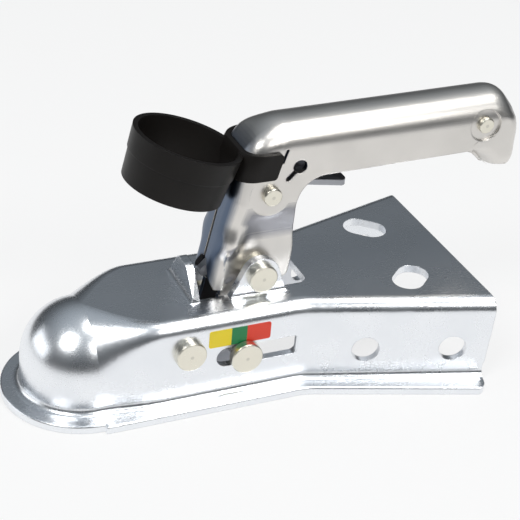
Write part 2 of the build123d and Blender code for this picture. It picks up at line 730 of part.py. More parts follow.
def lever():
    """Pressed channel: leg with fork arms, bend and grip."""
    outer = GRIP_HALF_WIDTH
    body = lever_block(0.0, GRIP_EDGE_RADIUS) - lever_block(LEVER_SHEET, PAST)
    body -= open_side()
    body += mirrored(fork_arm())
    inner = GRIP_HALF_WIDTH - LEVER_SHEET
    body += mirrored(across(CATCH_X, CATCH_Z, CATCH_PAD_RADIUS, -outer, -inner))
    body += mirrored(across(END_PIN_X, END_PIN_Z, DISH_RADIUS + DISH_DEPTH, -inner, DISH_DEPTH - inner))
    body -= mirrored(across(END_PIN_X, END_PIN_Z, DISH_RADIUS, -outer, DISH_DEPTH - outer))
    body -= leg_cuts()
    for cut in (keyhole(), hook_slit()):
        body -= side_slab(cut, -outer, outer)
    for x, z, radius in (
        (PIVOT_X, PIVOT_Z, PIVOT_RADIUS),
        (CATCH_X, CATCH_Z, CATCH_PIN_RADIUS),
        (END_PIN_X, END_PIN_Z, END_PIN_RADIUS),
    ):
        body -= across(x, z, radius + RUNNING_PLAY, -outer, outer)
    return body


def pivot_bush():
    """Collar between the near wall of the lever and its ear."""
    bore = PIVOT_RADIUS + RUNNING_PLAY
    return tube(PIVOT_X, PIVOT_Z, BUSH_RADIUS, bore, BUSH_PLAY - OPENING_HALF_WIDTH, -ARM_HALF_WIDTH)


# Safety catch


def catch():
    """Flat trigger on its own rivet: nose out of the foot of the leg, finger tongue under the bend."""
    half = CATCH_THICKNESS / 2
    hub = (CATCH_X, CATCH_Z, CATCH_HUB_RADIUS)
    elbow = (CATCH_ELBOW_X, CATCH_ELBOW_Z, CATCH_ELBOW_RADIUS)
    nose = (CATCH_NOSE_X, CATCH_NOSE_Z, CATCH_NOSE_RADIUS)
    rib_radius = TONGUE_THICKNESS / 2
    rib_end = (TONGUE_REAR - 2 * TONGUE_CORNER, TONGUE_TOP - rib_radius, rib_radius)
    body = side_slab(link(*hub, *elbow) + link(*elbow, *nose) + link(*hub, *rib_end), -half, half)
    pad = Pos((TONGUE_FRONT + TONGUE_REAR) / 2, 0) * RectangleRounded(
        TONGUE_REAR - TONGUE_FRONT, 2 * TONGUE_HALF_WIDTH, TONGUE_CORNER
    )
    body += extrude(Plane.XY.offset(TONGUE_TOP - TONGUE_THICKNESS) * pad, TONGUE_THICKNESS)
    return body - across(CATCH_X, CATCH_Z, CATCH_PIN_RADIUS + RUNNING_PLAY, -half, half)


def catch_spacer():
    """Tube on the catch rivet between the near wall and the catch."""
    bore = CATCH_PIN_RADIUS + RUNNING_PLAY
    outer = LEVER_SHEET + SPACER_PLAY - GRIP_HALF_WIDTH
    return tube(CATCH_X, CATCH_Z, bore + SPACER_WALL, bore, outer, -CATCH_THICKNESS / 2 - SPACER_PLAY)


def catch_spring():
    """Torsion spring round the near spacer, one leg on the web and one over the catch."""
    radius = CATCH_PIN_RADIUS + RUNNING_PLAY + SPACER_WALL + 2 * CATCH_WIRE_RADIUS
    length = CATCH_COIL_PITCH * CATCH_COIL_TURNS
    section = RegularPolygon(CATCH_WIRE_RADIUS, WIRE_SIDES)
    coil = Helix(CATCH_COIL_PITCH, length, radius)
    wire = sweep(Plane(coil @ 0, z_dir=coil % 0) * section, coil, is_frenet=True)
    first_leg = extrude(Plane(coil @ 0, z_dir=-(coil % 0)) * section, CATCH_LEG_LENGTH)
    last_leg = extrude(Plane(coil @ 1, z_dir=coil % 1) * section, CATCH_LEG_LENGTH)
    seat = CATCH_THICKNESS / 2 + SPACER_PLAY + 2 * CATCH_WIRE_RADIUS
    return Pos(CATCH_X, -seat, CATCH_Z) * Rot(90, 0, 0) * (wire + first_leg + last_leg)


# Sliding jaw and its springs


def ball_jaw():
    """Cheek that grips the ball from behind, with two plates that hold the indicator pin."""
    shell = Sphere(SOCKET_RADIUS + JAW_WALL) - Sphere(SOCKET_RADIUS)
    height = JAW_TOP - JAW_BOTTOM
    keep = Pos(JAW_FRONT, 0, JAW_BOTTOM) * Box(
        2 * DOME_RADIUS, 2 * JAW_HALF_WIDTH, height, align=(Align.MIN, Align.CENTER, Align.MIN)
    )
    body = shell & keep
    start = sqrt(SOCKET_RADIUS**2 - CHEEK_INNER**2)
    bar = make_face(
        Polyline(
            (start, CHEEK_BOTTOM),
            (INDICATOR_X, CHEEK_BOTTOM),
            (INDICATOR_X, JAW_TOP),
            (start, JAW_TOP),
            close=True,
        )
    )
    tip = Pos(INDICATOR_X, INDICATOR_Z) * Circle(CHEEK_TIP_RADIUS)
    low = Pos(INDICATOR_X, CHEEK_BOTTOM + CHEEK_TIP_RADIUS) * Circle(CHEEK_TIP_RADIUS)
    plate = side_slab(bar + make_hull([*tip.edges(), *low.edges()]), -CHEEK_OUTER, -CHEEK_INNER)
    body += mirrored(plate - Sphere(SOCKET_RADIUS))
    return body - across(INDICATOR_X, INDICATOR_Z, INDICATOR_RADIUS + RUNNING_PLAY, -CHEEK_OUTER, CHEEK_OUTER)


def jaw_spring():
    """Near tension spring, hooked round the guide sleeve and the indicator pin."""
    run = hypot(INDICATOR_X - JAW_PIN_X, INDICATOR_Z - JAW_PIN_Z)
    front_loop = SLEEVE_RADIUS + SPRING_LOOP_PLAY + SPRING_WIRE_RADIUS
    rear_loop = INDICATOR_RADIUS + SPRING_LOOP_PLAY + SPRING_WIRE_RADIUS
    start = front_loop + 2 * SPRING_WIRE_RADIUS
    length = run - start - rear_loop - 2 * SPRING_WIRE_RADIUS
    coil = Helix(length / SPRING_TURNS, length, SPRING_RADIUS)
    section = RegularPolygon(SPRING_WIRE_RADIUS, WIRE_SIDES)
    wire = sweep(Plane(coil @ 0, z_dir=coil % 0) * section, coil, is_frenet=True)
    wire = Pos(0, 0, start) * wire
    front_link = Line((SPRING_RADIUS, 0, start), (0, 0, front_loop))
    rear_link = Line((SPRING_RADIUS, 0, start + length), (0, 0, run - rear_loop))
    for tie in (front_link, rear_link):
        wire += extrude(Plane(tie @ 0, z_dir=tie % 0) * section, tie.length)
    for place, radius in ((0, front_loop), (run, rear_loop)):
        wire += Pos(0, 0, place) * Rot(90, 0, 0) * revolve(Plane.XZ * Pos(radius, 0) * section, Axis.Z)
    slope = degrees(atan2(INDICATOR_X - JAW_PIN_X, INDICATOR_Z - JAW_PIN_Z))
    return Pos(JAW_PIN_X, -SPRING_Y, JAW_PIN_Z) * Rot(0, slope, 0) * wire


def jaw_guide_sleeve():
    """Distance tube on the jaw rivet between the walls."""
    half = INNER_HALF_WIDTH - SPACER_PLAY
    return tube(JAW_PIN_X, JAW_PIN_Z, SLEEVE_RADIUS, JAW_PIN_RADIUS + RUNNING_PLAY, -half, half)


# Small pieces


def jaw_pin():
    """Fixed rivet through both walls, on which the guide sleeve sits."""
    seat = CHANNEL_HALF_WIDTH
    return rivet(JAW_PIN_X, JAW_PIN_Z, JAW_PIN_RADIUS, seat, JAW_PIN_HEAD_RADIUS, WALL_HEAD_HEIGHT)


def indicator_pin():
    """Rivet that carries the jaw and shows its place against the label."""
    seat = CHANNEL_HALF_WIDTH + INDICATOR_HEAD_GAP
    return rivet(INDICATOR_X, INDICATOR_Z, INDICATOR_RADIUS, seat, INDICATOR_HEAD_RADIUS, WALL_HEAD_HEIGHT)


def lever_pivot_pin():
    """Large rivet through the ears."""
    return rivet(PIVOT_X, PIVOT_Z, PIVOT_RADIUS, EAR_OUTER, PIVOT_HEAD_RADIUS, PIVOT_HEAD_HEIGHT)


def catch_pin():
    """Rivet across the upper leg on which the catch turns."""
    return rivet(CATCH_X, CATCH_Z, CATCH_PIN_RADIUS, GRIP_HALF_WIDTH, CATCH_HEAD_RADIUS, CATCH_HEAD_HEIGHT)


def grip_end_pin():
    """Rivet in the dished end of the grip."""
    seat = GRIP_HALF_WIDTH - DISH_DEPTH
    return rivet(END_PIN_X, END_PIN_Z, END_PIN_RADIUS, seat, END_HEAD_RADIUS, END_HEAD_HEIGHT)


def grip_end_spacer():
    """Distance tube on the grip rivet between the dished walls."""
    half = GRIP_HALF_WIDTH - LEVER_SHEET - DISH_DEPTH - SPACER_PLAY
    bore = END_PIN_RADIUS + RUNNING_PLAY
    return tube(END_PIN_X, END_PIN_Z, bore + SPACER_WALL, bore, -half, half)


def indicator_label():
    """Thin sticker on the near wall above the slot."""
    plan = RectangleRounded(LABEL_LENGTH, LABEL_HEIGHT, LABEL_CORNER)
    middle = Pos(LABEL_FRONT + LABEL_LENGTH / 2, LABEL_BOTTOM + LABEL_HEIGHT / 2)
    return side_slab(middle * plan, -CHANNEL_HALF_WIDTH - LABEL_THICKNESS, -CHANNEL_HALF_WIDTH)


# Cap holder


def cap_ring():
    """Open plastic ring of two bands with a ledge at its foot, upright on the origin."""
    band = RING_HEIGHT * RING_BAND_SHARE
    middle = RING_RADIUS + (RING_FOOT_RADIUS - RING_RADIUS) * RING_BAND_SHARE
    bore_foot = RING_FOOT_RADIUS - RING_BAND_STEP - RING_WALL
    profile = make_face(
        Polyline(
            (RING_RADIUS - RING_WALL, 0),
            (RING_RADIUS, 0),
            (middle, -band),
            (middle - RING_BAND_STEP, -band),
            (RING_FOOT_RADIUS - RING_BAND_STEP, -RING_HEIGHT),
            (bore_foot - RING_LEDGE, -RING_HEIGHT),
            (bore_foot - RING_LEDGE, RING_WALL - RING_HEIGHT),
            (bore_foot, RING_WALL - RING_HEIGHT),
            close=True,
        )
    )
    return revolve(on_y(0, 0) * profile, Axis.Z)


def cap_holder_ring():
    """Cap ring with the clip that grips both walls of the lever from the front."""
    ring = Pos(RING_X, 0, RING_Z) * Rot(0, RING_TILT, 0) * cap_ring()
    clear = lever_block(-CLIP_PLAY, GRIP_EDGE_RADIUS)
    rear_low = CLIP_REAR - (CLIP_HIGH - CLIP_LOW) * tan(radians(CLIP_END_LEAN))
    zone = rounded(
        [
            (LEG_FOOT_X - PAST, CLIP_LOW, 0),
            (rear_low, CLIP_LOW, CLIP_CORNER),
            (CLIP_REAR, CLIP_HIGH, CLIP_CORNER),
            (LEG_FOOT_X - PAST, CLIP_HIGH, 0),
        ]
    )
    grow = CLIP_PLAY + CLIP_WALL
    half = GRIP_HALF_WIDTH + grow
    clip = side_slab(lever_side(-grow, 0.0) & zone, -half, half)
    upright = clip.edges().filter_by(lambda edge: abs(edge.tangent_at(0.5).Z) > 0.5)
    clip = fillet(upright.filter_by(lambda edge: edge.center().X < CATCH_X), GRIP_EDGE_RADIUS + grow)
    return ring + clip - clear


PIECES = {
    "housing": housing,
    "ball_jaw": ball_jaw,
    "jaw_pin": jaw_pin,
    "jaw_guide_sleeve": jaw_guide_sleeve,
    "indicator_pin": indicator_pin,
    "jaw_spring_near": jaw_spring,
    "jaw_spring_far": lambda: mirror(jaw_spring(), Plane.XZ),
    "indicator_label": indicator_label,
    "lever": lever,
    "lever_pivot_pin": lever_pivot_pin,
    "pivot_bush_near": pivot_bush,
    "pivot_bush_far": lambda: mirror(pivot_bush(), Plane.XZ),
    "catch": catch,
    "catch_pin": catch_pin,
    "catch_spacer_near": catch_spacer,
    "catch_spacer_far": lambda: mirror(catch_spacer(), Plane.XZ),
    "catch_spring": catch_spring,
    "grip_end_pin": grip_end_pin,
    "grip_end_spacer": grip_end_spacer,
    "cap_holder_ring": cap_holder_ring,
}

if __name__ == "__main__":
    os.makedirs("parts", exist_ok=True)
    for name, make in PIECES.items():
        export_step(make(), f"parts/{name}.step")
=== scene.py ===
"""Looks of a trailer coupling head: zinc plating, plastic, label film, wire springs, light and camera."""

import logging
import math
from collections.abc import Callable
from dataclasses import dataclass
from enum import Enum
from typing import Any

import bmesh
import bpy
from mathutils import Matrix, Vector


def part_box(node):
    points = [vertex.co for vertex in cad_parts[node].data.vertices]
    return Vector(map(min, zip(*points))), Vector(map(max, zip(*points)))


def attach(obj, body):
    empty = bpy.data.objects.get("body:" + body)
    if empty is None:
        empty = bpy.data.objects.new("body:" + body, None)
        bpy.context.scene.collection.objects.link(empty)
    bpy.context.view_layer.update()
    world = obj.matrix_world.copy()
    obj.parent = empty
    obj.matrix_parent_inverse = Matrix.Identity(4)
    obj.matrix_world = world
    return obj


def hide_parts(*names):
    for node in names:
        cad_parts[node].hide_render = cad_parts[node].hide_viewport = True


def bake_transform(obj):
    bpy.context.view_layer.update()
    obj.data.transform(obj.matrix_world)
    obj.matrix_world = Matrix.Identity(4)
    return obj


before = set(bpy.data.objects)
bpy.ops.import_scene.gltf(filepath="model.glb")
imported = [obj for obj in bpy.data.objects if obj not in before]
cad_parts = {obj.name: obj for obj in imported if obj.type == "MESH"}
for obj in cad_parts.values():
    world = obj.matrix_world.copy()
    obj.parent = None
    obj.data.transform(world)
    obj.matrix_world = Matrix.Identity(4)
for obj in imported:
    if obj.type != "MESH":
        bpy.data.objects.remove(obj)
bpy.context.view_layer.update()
LOG = logging.getLogger("coupling_head")

MM = 0.001
# The lever's leg ends here, in metres along X.
LEG_END = 0.15
FLOOR_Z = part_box("housing")[0].z
Colour = tuple[float, float, float, float]
Point = tuple[float, float, float]
Span = tuple[float, float]
Zone = tuple[Point, Point]
Socket = bpy.types.NodeSocket
Material = bpy.types.Material
BMesh = bmesh.types.BMesh


class Slot(Enum):
    """Material slots of the record."""

    SHEET = "zinc_sheet"
    LEVER = "zinc_lever"
    JAW = "jaw_steel"
    RIVET = "rivet_steel"
    SPRING = "spring_steel"
    LABEL = "label_film"
    PLASTIC = "black_plastic"


class Side(Enum):
    """Sides of the coupling, with the sign of their Y."""

    NEAR = -1.0
    FAR = 1.0


def ease(low: float, high: float, value: float) -> float:
    """Smooth rise from 0 to 1.

    Args:
        low: Where the rise starts.
        high: Where it ends.
        value: The place to read.

    Returns:
        A number between 0 and 1.
    """
    share = min(max((value - low) / (high - low), 0.0), 1.0)
    return share * share * (3.0 - 2.0 * share)


def added(name: str, data: bpy.types.ID) -> bpy.types.Object:
    """Put a new object into the scene.

    Args:
        name: Its name.
        data: Its mesh, lamp or camera.

    Returns:
        The object.
    """
    thing = bpy.data.objects.new(name, data)
    bpy.context.scene.collection.objects.link(thing)
    return thing


class Graph:
    """Small helper that adds and links the nodes of one tree."""

    FIRST_COLOUR = 6
    SECOND_COLOUR = 7
    MIXED_COLOUR = 2

    def __init__(self, tree: bpy.types.NodeTree) -> None:
        """Take over a tree.

        Args:
            tree: The node tree to fill.
        """
        self.tree = tree

    @classmethod
    def of_material(cls, name: str) -> tuple[Material, "Graph"]:
        """Start an empty material.

        Args:
            name: Name of the material.

        Returns:
            The material and the graph of its tree.
        """
        material = bpy.data.materials.new(name)
        material.use_nodes = True
        material.node_tree.nodes.clear()
        return material, cls(material.node_tree)

    def add(self, kind: str, settings: dict[str, Any] | None = None, **inputs: Any) -> bpy.types.Node:
        """Add a node.

        Args:
            kind: Type of the node.
            settings: Node properties to set.
            inputs: Socket values or sources; underscores in a name stand for spaces.

        Returns:
            The new node.
        """
        node = self.tree.nodes.new(kind)
        for key, value in (settings or {}).items():
            setattr(node, key, value)
        for key, value in inputs.items():
            self.feed(node.inputs[key.replace("_", " ")], value)
        return node

    def feed(self, socket: Socket, value: Any) -> None:
        """Link a socket to a source, or set its plain value.

        Args:
            socket: The input socket.
            value: An output socket or a plain value.
        """
        if isinstance(value, Socket):
            self.tree.links.new(value, socket)
        else:
            socket.default_value = value

    def math(self, operation: str, first: Any, second: Any = 0.0) -> Socket:
        """Add a math node.

        Args:
            operation: Name of the operation.
            first: First operand.
            second: Second operand.

        Returns:
            The result socket.
        """
        node = self.add("ShaderNodeMath", {"operation": operation})
        self.feed(node.inputs[0], first)
        self.feed(node.inputs[1], second)
        return node.outputs[0]

    def vector(self, operation: str, first: Any, second: Any = (0.0, 0.0, 0.0)) -> Any:
        """Add a vector math node.

        Args:
            operation: Name of the operation.
            first: First vector.
            second: Second vector.

        Returns:
            The outputs of the node.
        """
        node = self.add("ShaderNodeVectorMath", {"operation": operation})
        self.feed(node.inputs[0], first)
        self.feed(node.inputs[1], second)
        return node.outputs

    def mix(self, factor: Any, first: Any, second: Any) -> Socket:
        """Mix two colours.

        Args:
            factor: Share of the second colour.
            first: First colour.
            second: Second colour.

        Returns:
            The colour socket.
        """
        node = self.add("ShaderNodeMix", {"data_type": "RGBA"}, Factor=factor)
        self.feed(node.inputs[self.FIRST_COLOUR], first)
        self.feed(node.inputs[self.SECOND_COLOUR], second)
        return node.outputs[self.MIXED_COLOUR]

    def spread(
        self, value: Any, low: float, high: float, to_low: float = 0.0, to_high: float = 1.0
    ) -> Socket:
        """Map a value from one range to another, clamped.

        Args:
            value: The source.
            low: Start of the source range.
            high: End of the source range.
            to_low: Start of the result range.
            to_high: End of the result range.

        Returns:
            The result socket.
        """
        node = self.add(
            "ShaderNodeMapRange", Value=value, From_Min=low, From_Max=high, To_Min=to_low, To_Max=to_high
        )
        return node.outputs["Result"]

    def plus(self, base: Any, value: Any, share: float) -> Socket:
        """Add a share of a value to a base.

        Args:
            base: The base.
            value: The value.
            share: How much of it is added.

        Returns:
            The sum.
        """
        return self.math("ADD", self.math("MULTIPLY", value, share), base)

    def shade(self, **inputs: Any) -> None:
        """Close a material with its surface shader.

        Args:
            inputs: Socket values or sources of the shader; underscores in a name stand for spaces.
        """
        shader = self.add("ShaderNodeBsdfPrincipled", **inputs)
        self.add("ShaderNodeOutputMaterial", Surface=shader.outputs[0])


@dataclass(frozen=True)
class Camera:
    """Pinhole camera fitted to the photograph."""

    azimuth_deg: float = 26.165
    elevation_deg: float = 31.218
    roll_deg: float = -4.949
    focal_px: float = 1500.03
    image_px: float = 520.0
    offset_mm: Point = (-1.776, 6.155, 739.331)
    target_mm: Point = (90.0, 0.0, 30.0)
    sensor_mm: float = 36.0
    nearest: float = 0.01

    def build(self) -> None:
        """Place the camera and make it the scene's own."""
        azimuth = math.radians(self.azimuth_deg)
        elevation = math.radians(self.elevation_deg)
        roll = math.radians(self.roll_deg)
        flat = math.cos(elevation)
        forward = Vector((math.sin(azimuth) * flat, math.cos(azimuth) * flat, -math.sin(elevation)))
        level = Vector((math.cos(azimuth), -math.sin(azimuth), 0.0))
        below = forward.cross(level)
        right = level * math.cos(roll) + below * math.sin(roll)
        down = below * math.cos(roll) - level * math.sin(roll)
        across, drop, away = self.offset_mm
        place = Vector(self.target_mm) - right * across - down * drop - forward * away
        data = bpy.data.cameras.new("photo_camera")
        data.sensor_width = self.sensor_mm
        data.lens = self.focal_px / self.image_px * self.sensor_mm
        data.clip_start = self.nearest
        camera = added("photo_camera", data)
        axes = Matrix((right, -down, -forward)).transposed().to_4x4()
        camera.matrix_world = Matrix.Translation(place * MM) @ axes
        bpy.context.scene.camera = camera


@dataclass(frozen=True)
class Lamp:
    """Soft rectangular lamp that faces the object."""

    name: str
    azimuth_deg: float
    elevation_deg: float
    width: float
    height: float
    brightness: float
    colour: Point = (1.0, 1.0, 1.0)
    distance: float = 2.0
    aim: Point = (0.05, 0.0, 0.03)

    def build(self) -> None:
        """Hang the lamp."""
        azimuth = math.radians(self.azimuth_deg)
        elevation = math.radians(self.elevation_deg)
        flat = math.cos(elevation)
        direction = Vector((math.cos(azimuth) * flat, math.sin(azimuth) * flat, math.sin(elevation)))
        data = bpy.data.lights.new(self.name, "AREA")
        data.shape = "RECTANGLE"
        data.size = self.width
        data.size_y = self.height
        data.energy = self.brightness * math.pi * self.width * self.height
        data.color = self.colour
        lamp = added(self.name, data)
        lamp.location = Vector(self.aim) + direction * self.distance
        lamp.rotation_euler = direction.to_track_quat("Z", "Y").to_euler()


@dataclass(frozen=True)
class Studio:
    """Pale floor in a dim room with soft lamps."""

    floor_half: float = 4.0
    floor_gap: float = 0.0002
    floor_colour: Colour = (0.96, 0.96, 0.96, 1.0)
    far_colour: Colour = (0.30, 0.31, 0.33, 1.0)
    evenness: float = 0.75
    floor_middle: Span = (0.12, 0.05)
    pale_reach: Span = (0.50, 1.10)
    room_tint: Colour = (0.82, 0.91, 1.0, 1.0)
    room_stops: tuple[Span, ...] = (
        (0.0, 0.03),
        (0.16, 0.05),
        (0.36, 0.10),
        (0.52, 0.15),
        (0.78, 0.33),
        (1.0, 0.45),
    )
    lamps: tuple[Lamp, ...] = (
        Lamp("overhead", -20.0, 69.0, 0.68, 0.92, 7.0, (1.0, 0.985, 0.96)),
        Lamp("front", -146.0, 52.0, 0.68, 0.84, 7.0, (1.0, 0.99, 0.97)),
        Lamp("near", -66.0, 41.0, 0.72, 0.56, 7.0, (1.0, 0.985, 0.96)),
        Lamp("panel", 160.0, 14.0, 1.60, 0.84, 1.5, (0.96, 0.98, 1.0)),
    )

    def build(self) -> None:
        """Build the room, the floor and the lamps."""
        self.room()
        self.floor()
        for lamp in self.lamps:
            lamp.build()

    def room(self) -> None:
        """Dim room that is lighter towards its ceiling."""
        world = bpy.data.worlds.new("room")
        bpy.context.scene.world = world
        world.use_nodes = True
        world.node_tree.nodes.clear()
        graph = Graph(world.node_tree)
        towards = graph.add("ShaderNodeTexCoord").outputs["Generated"]
        height = graph.add("ShaderNodeSeparateXYZ", Vector=towards).outputs["Z"]
        ramp = graph.add("ShaderNodeValToRGB", Fac=height)
        stops = ramp.color_ramp.elements
        for place, _ in self.room_stops[1:-1]:
            stops.new(place)
        for stop, (place, level) in zip(stops, self.room_stops):
            stop.position = place
            stop.color = (level, level, level, 1.0)
        dim = graph.add("ShaderNodeBackground", Color=self.room_tint, Strength=ramp.outputs["Color"])
        graph.add("ShaderNodeOutputWorld", Surface=dim.outputs[0])

    def floor(self) -> None:
        """Pale floor that turns grey well away from the object."""
        half = self.floor_half
        level = FLOOR_Z - self.floor_gap
        corners = [(-half, -half, level), (half, -half, level), (half, half, level), (-half, half, level)]
        mesh = bpy.data.meshes.new("floor")
        mesh.from_pydata(corners, [], [(0, 1, 2, 3)])
        floor = added("floor", mesh)
        material, graph = Graph.of_material("floor_paper")
        place = graph.add("ShaderNodeTexCoord").outputs["Object"]
        away = graph.vector("DISTANCE", place, (*self.floor_middle, level))["Value"]
        far = graph.spread(away, *self.pale_reach)
        colour = graph.mix(far, self.floor_colour, self.far_colour)
        paper = graph.add("ShaderNodeBsdfDiffuse", Color=colour)
        plain = graph.add("ShaderNodeEmission", Color=colour, Strength=1.0)
        ray = graph.add("ShaderNodeLightPath").outputs
        seen = graph.math("MAXIMUM", ray["Is Camera Ray"], ray["Is Glossy Ray"])
        seen = graph.math("MAXIMUM", seen, ray["Is Transmission Ray"])
        mixed = graph.add("ShaderNodeMixShader", Fac=graph.math("MULTIPLY", seen, self.evenness))
        graph.tree.links.new(paper.outputs[0], mixed.inputs[1])
        graph.tree.links.new(plain.outputs[0], mixed.inputs[2])
        graph.add("ShaderNodeOutputMaterial", Surface=mixed.outputs[0])
        mesh.materials.append(material)


class SharedEffects:
    """Shader node groups that several finishes use."""

    CLOUD_RANGE = (0.3, 0.7)
    CLOUD_DETAIL = 4.0
    PEEL_RANGE = (0.25, 0.75)
    PEEL_DETAIL = 2.0
    SCRATCH_RANGE = (0.62, 0.72)
    SCRATCH_DETAIL = 1.0
    SCRATCH_TURN = (0.3, 0.2, 0.5)
    SCRATCH_STRETCH = (1.0, 14.0, 14.0)
    ACROSS_AXIS = (1.0, 0.0, 1.0)

    def __init__(self) -> None:
        """Build each group once."""
        self.plating = self.build_plating()
        self.rings = self.build_rings()

    @staticmethod
    def group(name: str, inputs: dict[str, Any], outputs: tuple[str, ...]) -> tuple[Graph, Any, Any]:
        """Start a group.

        Args:
            name: Name of the group.
            inputs: Input names and their usual values, plain numbers or vectors.
            outputs: Names of its plain outputs.

        Returns:
            The graph of the group, its input node and its output node.
        """
        tree = bpy.data.node_groups.new(name, "ShaderNodeTree")
        for key, value in inputs.items():
            kind = "NodeSocketFloat" if isinstance(value, float) else "NodeSocketVector"
            tree.interface.new_socket(key, in_out="INPUT", socket_type=kind).default_value = value
        for key in outputs:
            tree.interface.new_socket(key, in_out="OUTPUT", socket_type="NodeSocketFloat")
        graph = Graph(tree)
        return graph, graph.add("NodeGroupInput"), graph.add("NodeGroupOutput")

    def build_plating(self) -> bpy.types.NodeTree:
        """Uneven bright plating: clouds, orange peel and short scratches.

        Returns:
            A group with outputs Cloud, Peel and Scratch, each between 0 and 1.
        """
        usual = {"Cloud Scale": 45.0, "Peel Scale": 900.0, "Scratch Scale": 120.0}
        graph, given, result = self.group("plating", usual, ("Cloud", "Peel", "Scratch"))
        place = graph.add("ShaderNodeTexCoord").outputs["Object"]
        turned = graph.add(
            "ShaderNodeMapping", Vector=place, Rotation=self.SCRATCH_TURN, Scale=self.SCRATCH_STRETCH
        ).outputs[0]
        patterns = (
            ("Cloud", place, self.CLOUD_DETAIL, self.CLOUD_RANGE),
            ("Peel", place, self.PEEL_DETAIL, self.PEEL_RANGE),
            ("Scratch", turned, self.SCRATCH_DETAIL, self.SCRATCH_RANGE),
        )
        for name, spot, detail, limits in patterns:
            scale = given.outputs[f"{name} Scale"]
            noise = graph.add("ShaderNodeTexNoise", Vector=spot, Scale=scale, Detail=detail)
            graph.feed(result.inputs[name], graph.spread(noise.outputs["Fac"], *limits))
        return graph.tree

    def build_rings(self) -> bpy.types.NodeTree:
        """Turned rings round an axis along Y through a given point.

        Returns:
            A group with outputs Ring, a wave from 0 to 1, and Reach, the distance from the axis in metres.
        """
        usual = {"Centre": (0.0, 0.0, 0.0), "Pitch": 0.0009}
        graph, given, result = self.group("turned_rings", usual, ("Ring", "Reach"))
        place = graph.add("ShaderNodeTexCoord").outputs["Object"]
        away = graph.vector("SUBTRACT", place, given.outputs["Centre"])[0]
        flat = graph.vector("MULTIPLY", away, self.ACROSS_AXIS)[0]
        reach = graph.vector("LENGTH", flat)["Value"]
        turns = graph.math("DIVIDE", reach, given.outputs["Pitch"])
        wave = graph.math("SINE", graph.math("MULTIPLY", turns, 2.0 * math.pi))
        graph.feed(result.inputs["Ring"], graph.spread(wave, -1.0, 1.0))
        graph.feed(result.inputs["Reach"], reach)
        return graph.tree


@dataclass(frozen=True)
class Relief:
    """Softly rounded edges and fine bumps of a surface, in metres."""

    edge_round: float
    bump_height: float
    strength: float = 0.5
    samples: int = 4

    def normal(self, graph: Graph, height: Socket) -> Socket:
        """Normal of the surface with its edges and bumps.

        Args:
            graph: The material's graph.
            height: Pattern of the bumps.

        Returns:
            The normal.
        """
        soft = graph.add("ShaderNodeBevel", {"samples": self.samples}, Radius=self.edge_round)
        bump = graph.add(
            "ShaderNodeBump",
            Strength=self.strength,
            Distance=self.bump_height,
            Height=height,
            Normal=soft.outputs[0],
        )
        return bump.outputs[0]


@dataclass(frozen=True)
class ZincFinish:
    """Bright zinc plating on steel, with painted shade and a painted reflection on the leg's faces."""

    slot: Slot
    colour: Colour
    shade: Colour
    roughness: float
    # Painted shade: colour of the leg's faces that look to the middle of the coupling, dark for the
    # lever's inside.
    painted_inner_shade: Colour
    # Painted reflection: colour of the leg's forward-facing faces, blue-grey on the lever.
    front: Colour
    # Painted shade: colour of the leg's walls that tilt a little down, mid grey on the lever.
    painted_downward_shade: Colour
    relief: Relief = Relief(edge_round=0.0005, bump_height=0.000022)
    cloudiness: float = 0.5
    cloud_rough: float = 0.05
    inner_rough: float = 0.3
    scratch_rough: float = 0.03
    inward_limit: float = -0.003
    front_reflection_range: Span = (-0.55, -0.9)
    downward_shade_range: Span = (-0.08, -0.22)

    def build(self, effects: SharedEffects) -> Material:
        """Build the material.

        Args:
            effects: The shared groups.

        Returns:
            The material.
        """
        material, graph = Graph.of_material(self.slot.value)
        plate = graph.add("ShaderNodeGroup", {"node_tree": effects.plating}).outputs
        cloud = graph.math("MULTIPLY", plate["Cloud"], self.cloudiness)
        inside, front_reflection_mask, sloped = self.facing(graph)
        # Painted shade on the leg walls that tilt a little down.
        colour = graph.mix(sloped, graph.mix(cloud, self.colour, self.shade), self.painted_downward_shade)
        # Painted reflection on the forward-facing faces.
        colour = graph.mix(front_reflection_mask, colour, self.front)
        # Painted shade on the faces that look to the middle of the coupling.
        colour = graph.mix(inside, colour, self.painted_inner_shade)
        rough = graph.plus(self.roughness, plate["Cloud"], self.cloud_rough)
        rough = graph.plus(rough, inside, self.inner_rough)
        rough = graph.plus(rough, plate["Scratch"], self.scratch_rough)
        normal = self.relief.normal(graph, plate["Peel"])
        graph.shade(Base_Color=colour, Metallic=1.0, Roughness=rough, Normal=normal)
        return material

    def facing(self, graph: Graph) -> tuple[Socket, ...]:
        """Masks of the leg's faces that look to the middle of the coupling, forward, and a little down,
        which carry painted shade and a painted reflection.

        Args:
            graph: The material's graph.

        Returns:
            The three masks, each between 0 and 1.
        """
        place = graph.add("ShaderNodeTexCoord").outputs
        spot = graph.add("ShaderNodeSeparateXYZ", Vector=place["Object"]).outputs
        normal = graph.add("ShaderNodeSeparateXYZ", Vector=place["Normal"]).outputs
        leg = graph.math("LESS_THAN", spot["X"], LEG_END)
        outward = graph.math("MULTIPLY", spot["Y"], normal["Y"])
        inward = graph.math("LESS_THAN", outward, self.inward_limit)
        front_reflection_mask = graph.spread(normal["X"], *self.front_reflection_range)
        sloped = graph.spread(normal["Z"], *self.downward_shade_range)
        return tuple(graph.math("MULTIPLY", mask, leg) for mask in (inward, front_reflection_mask, sloped))


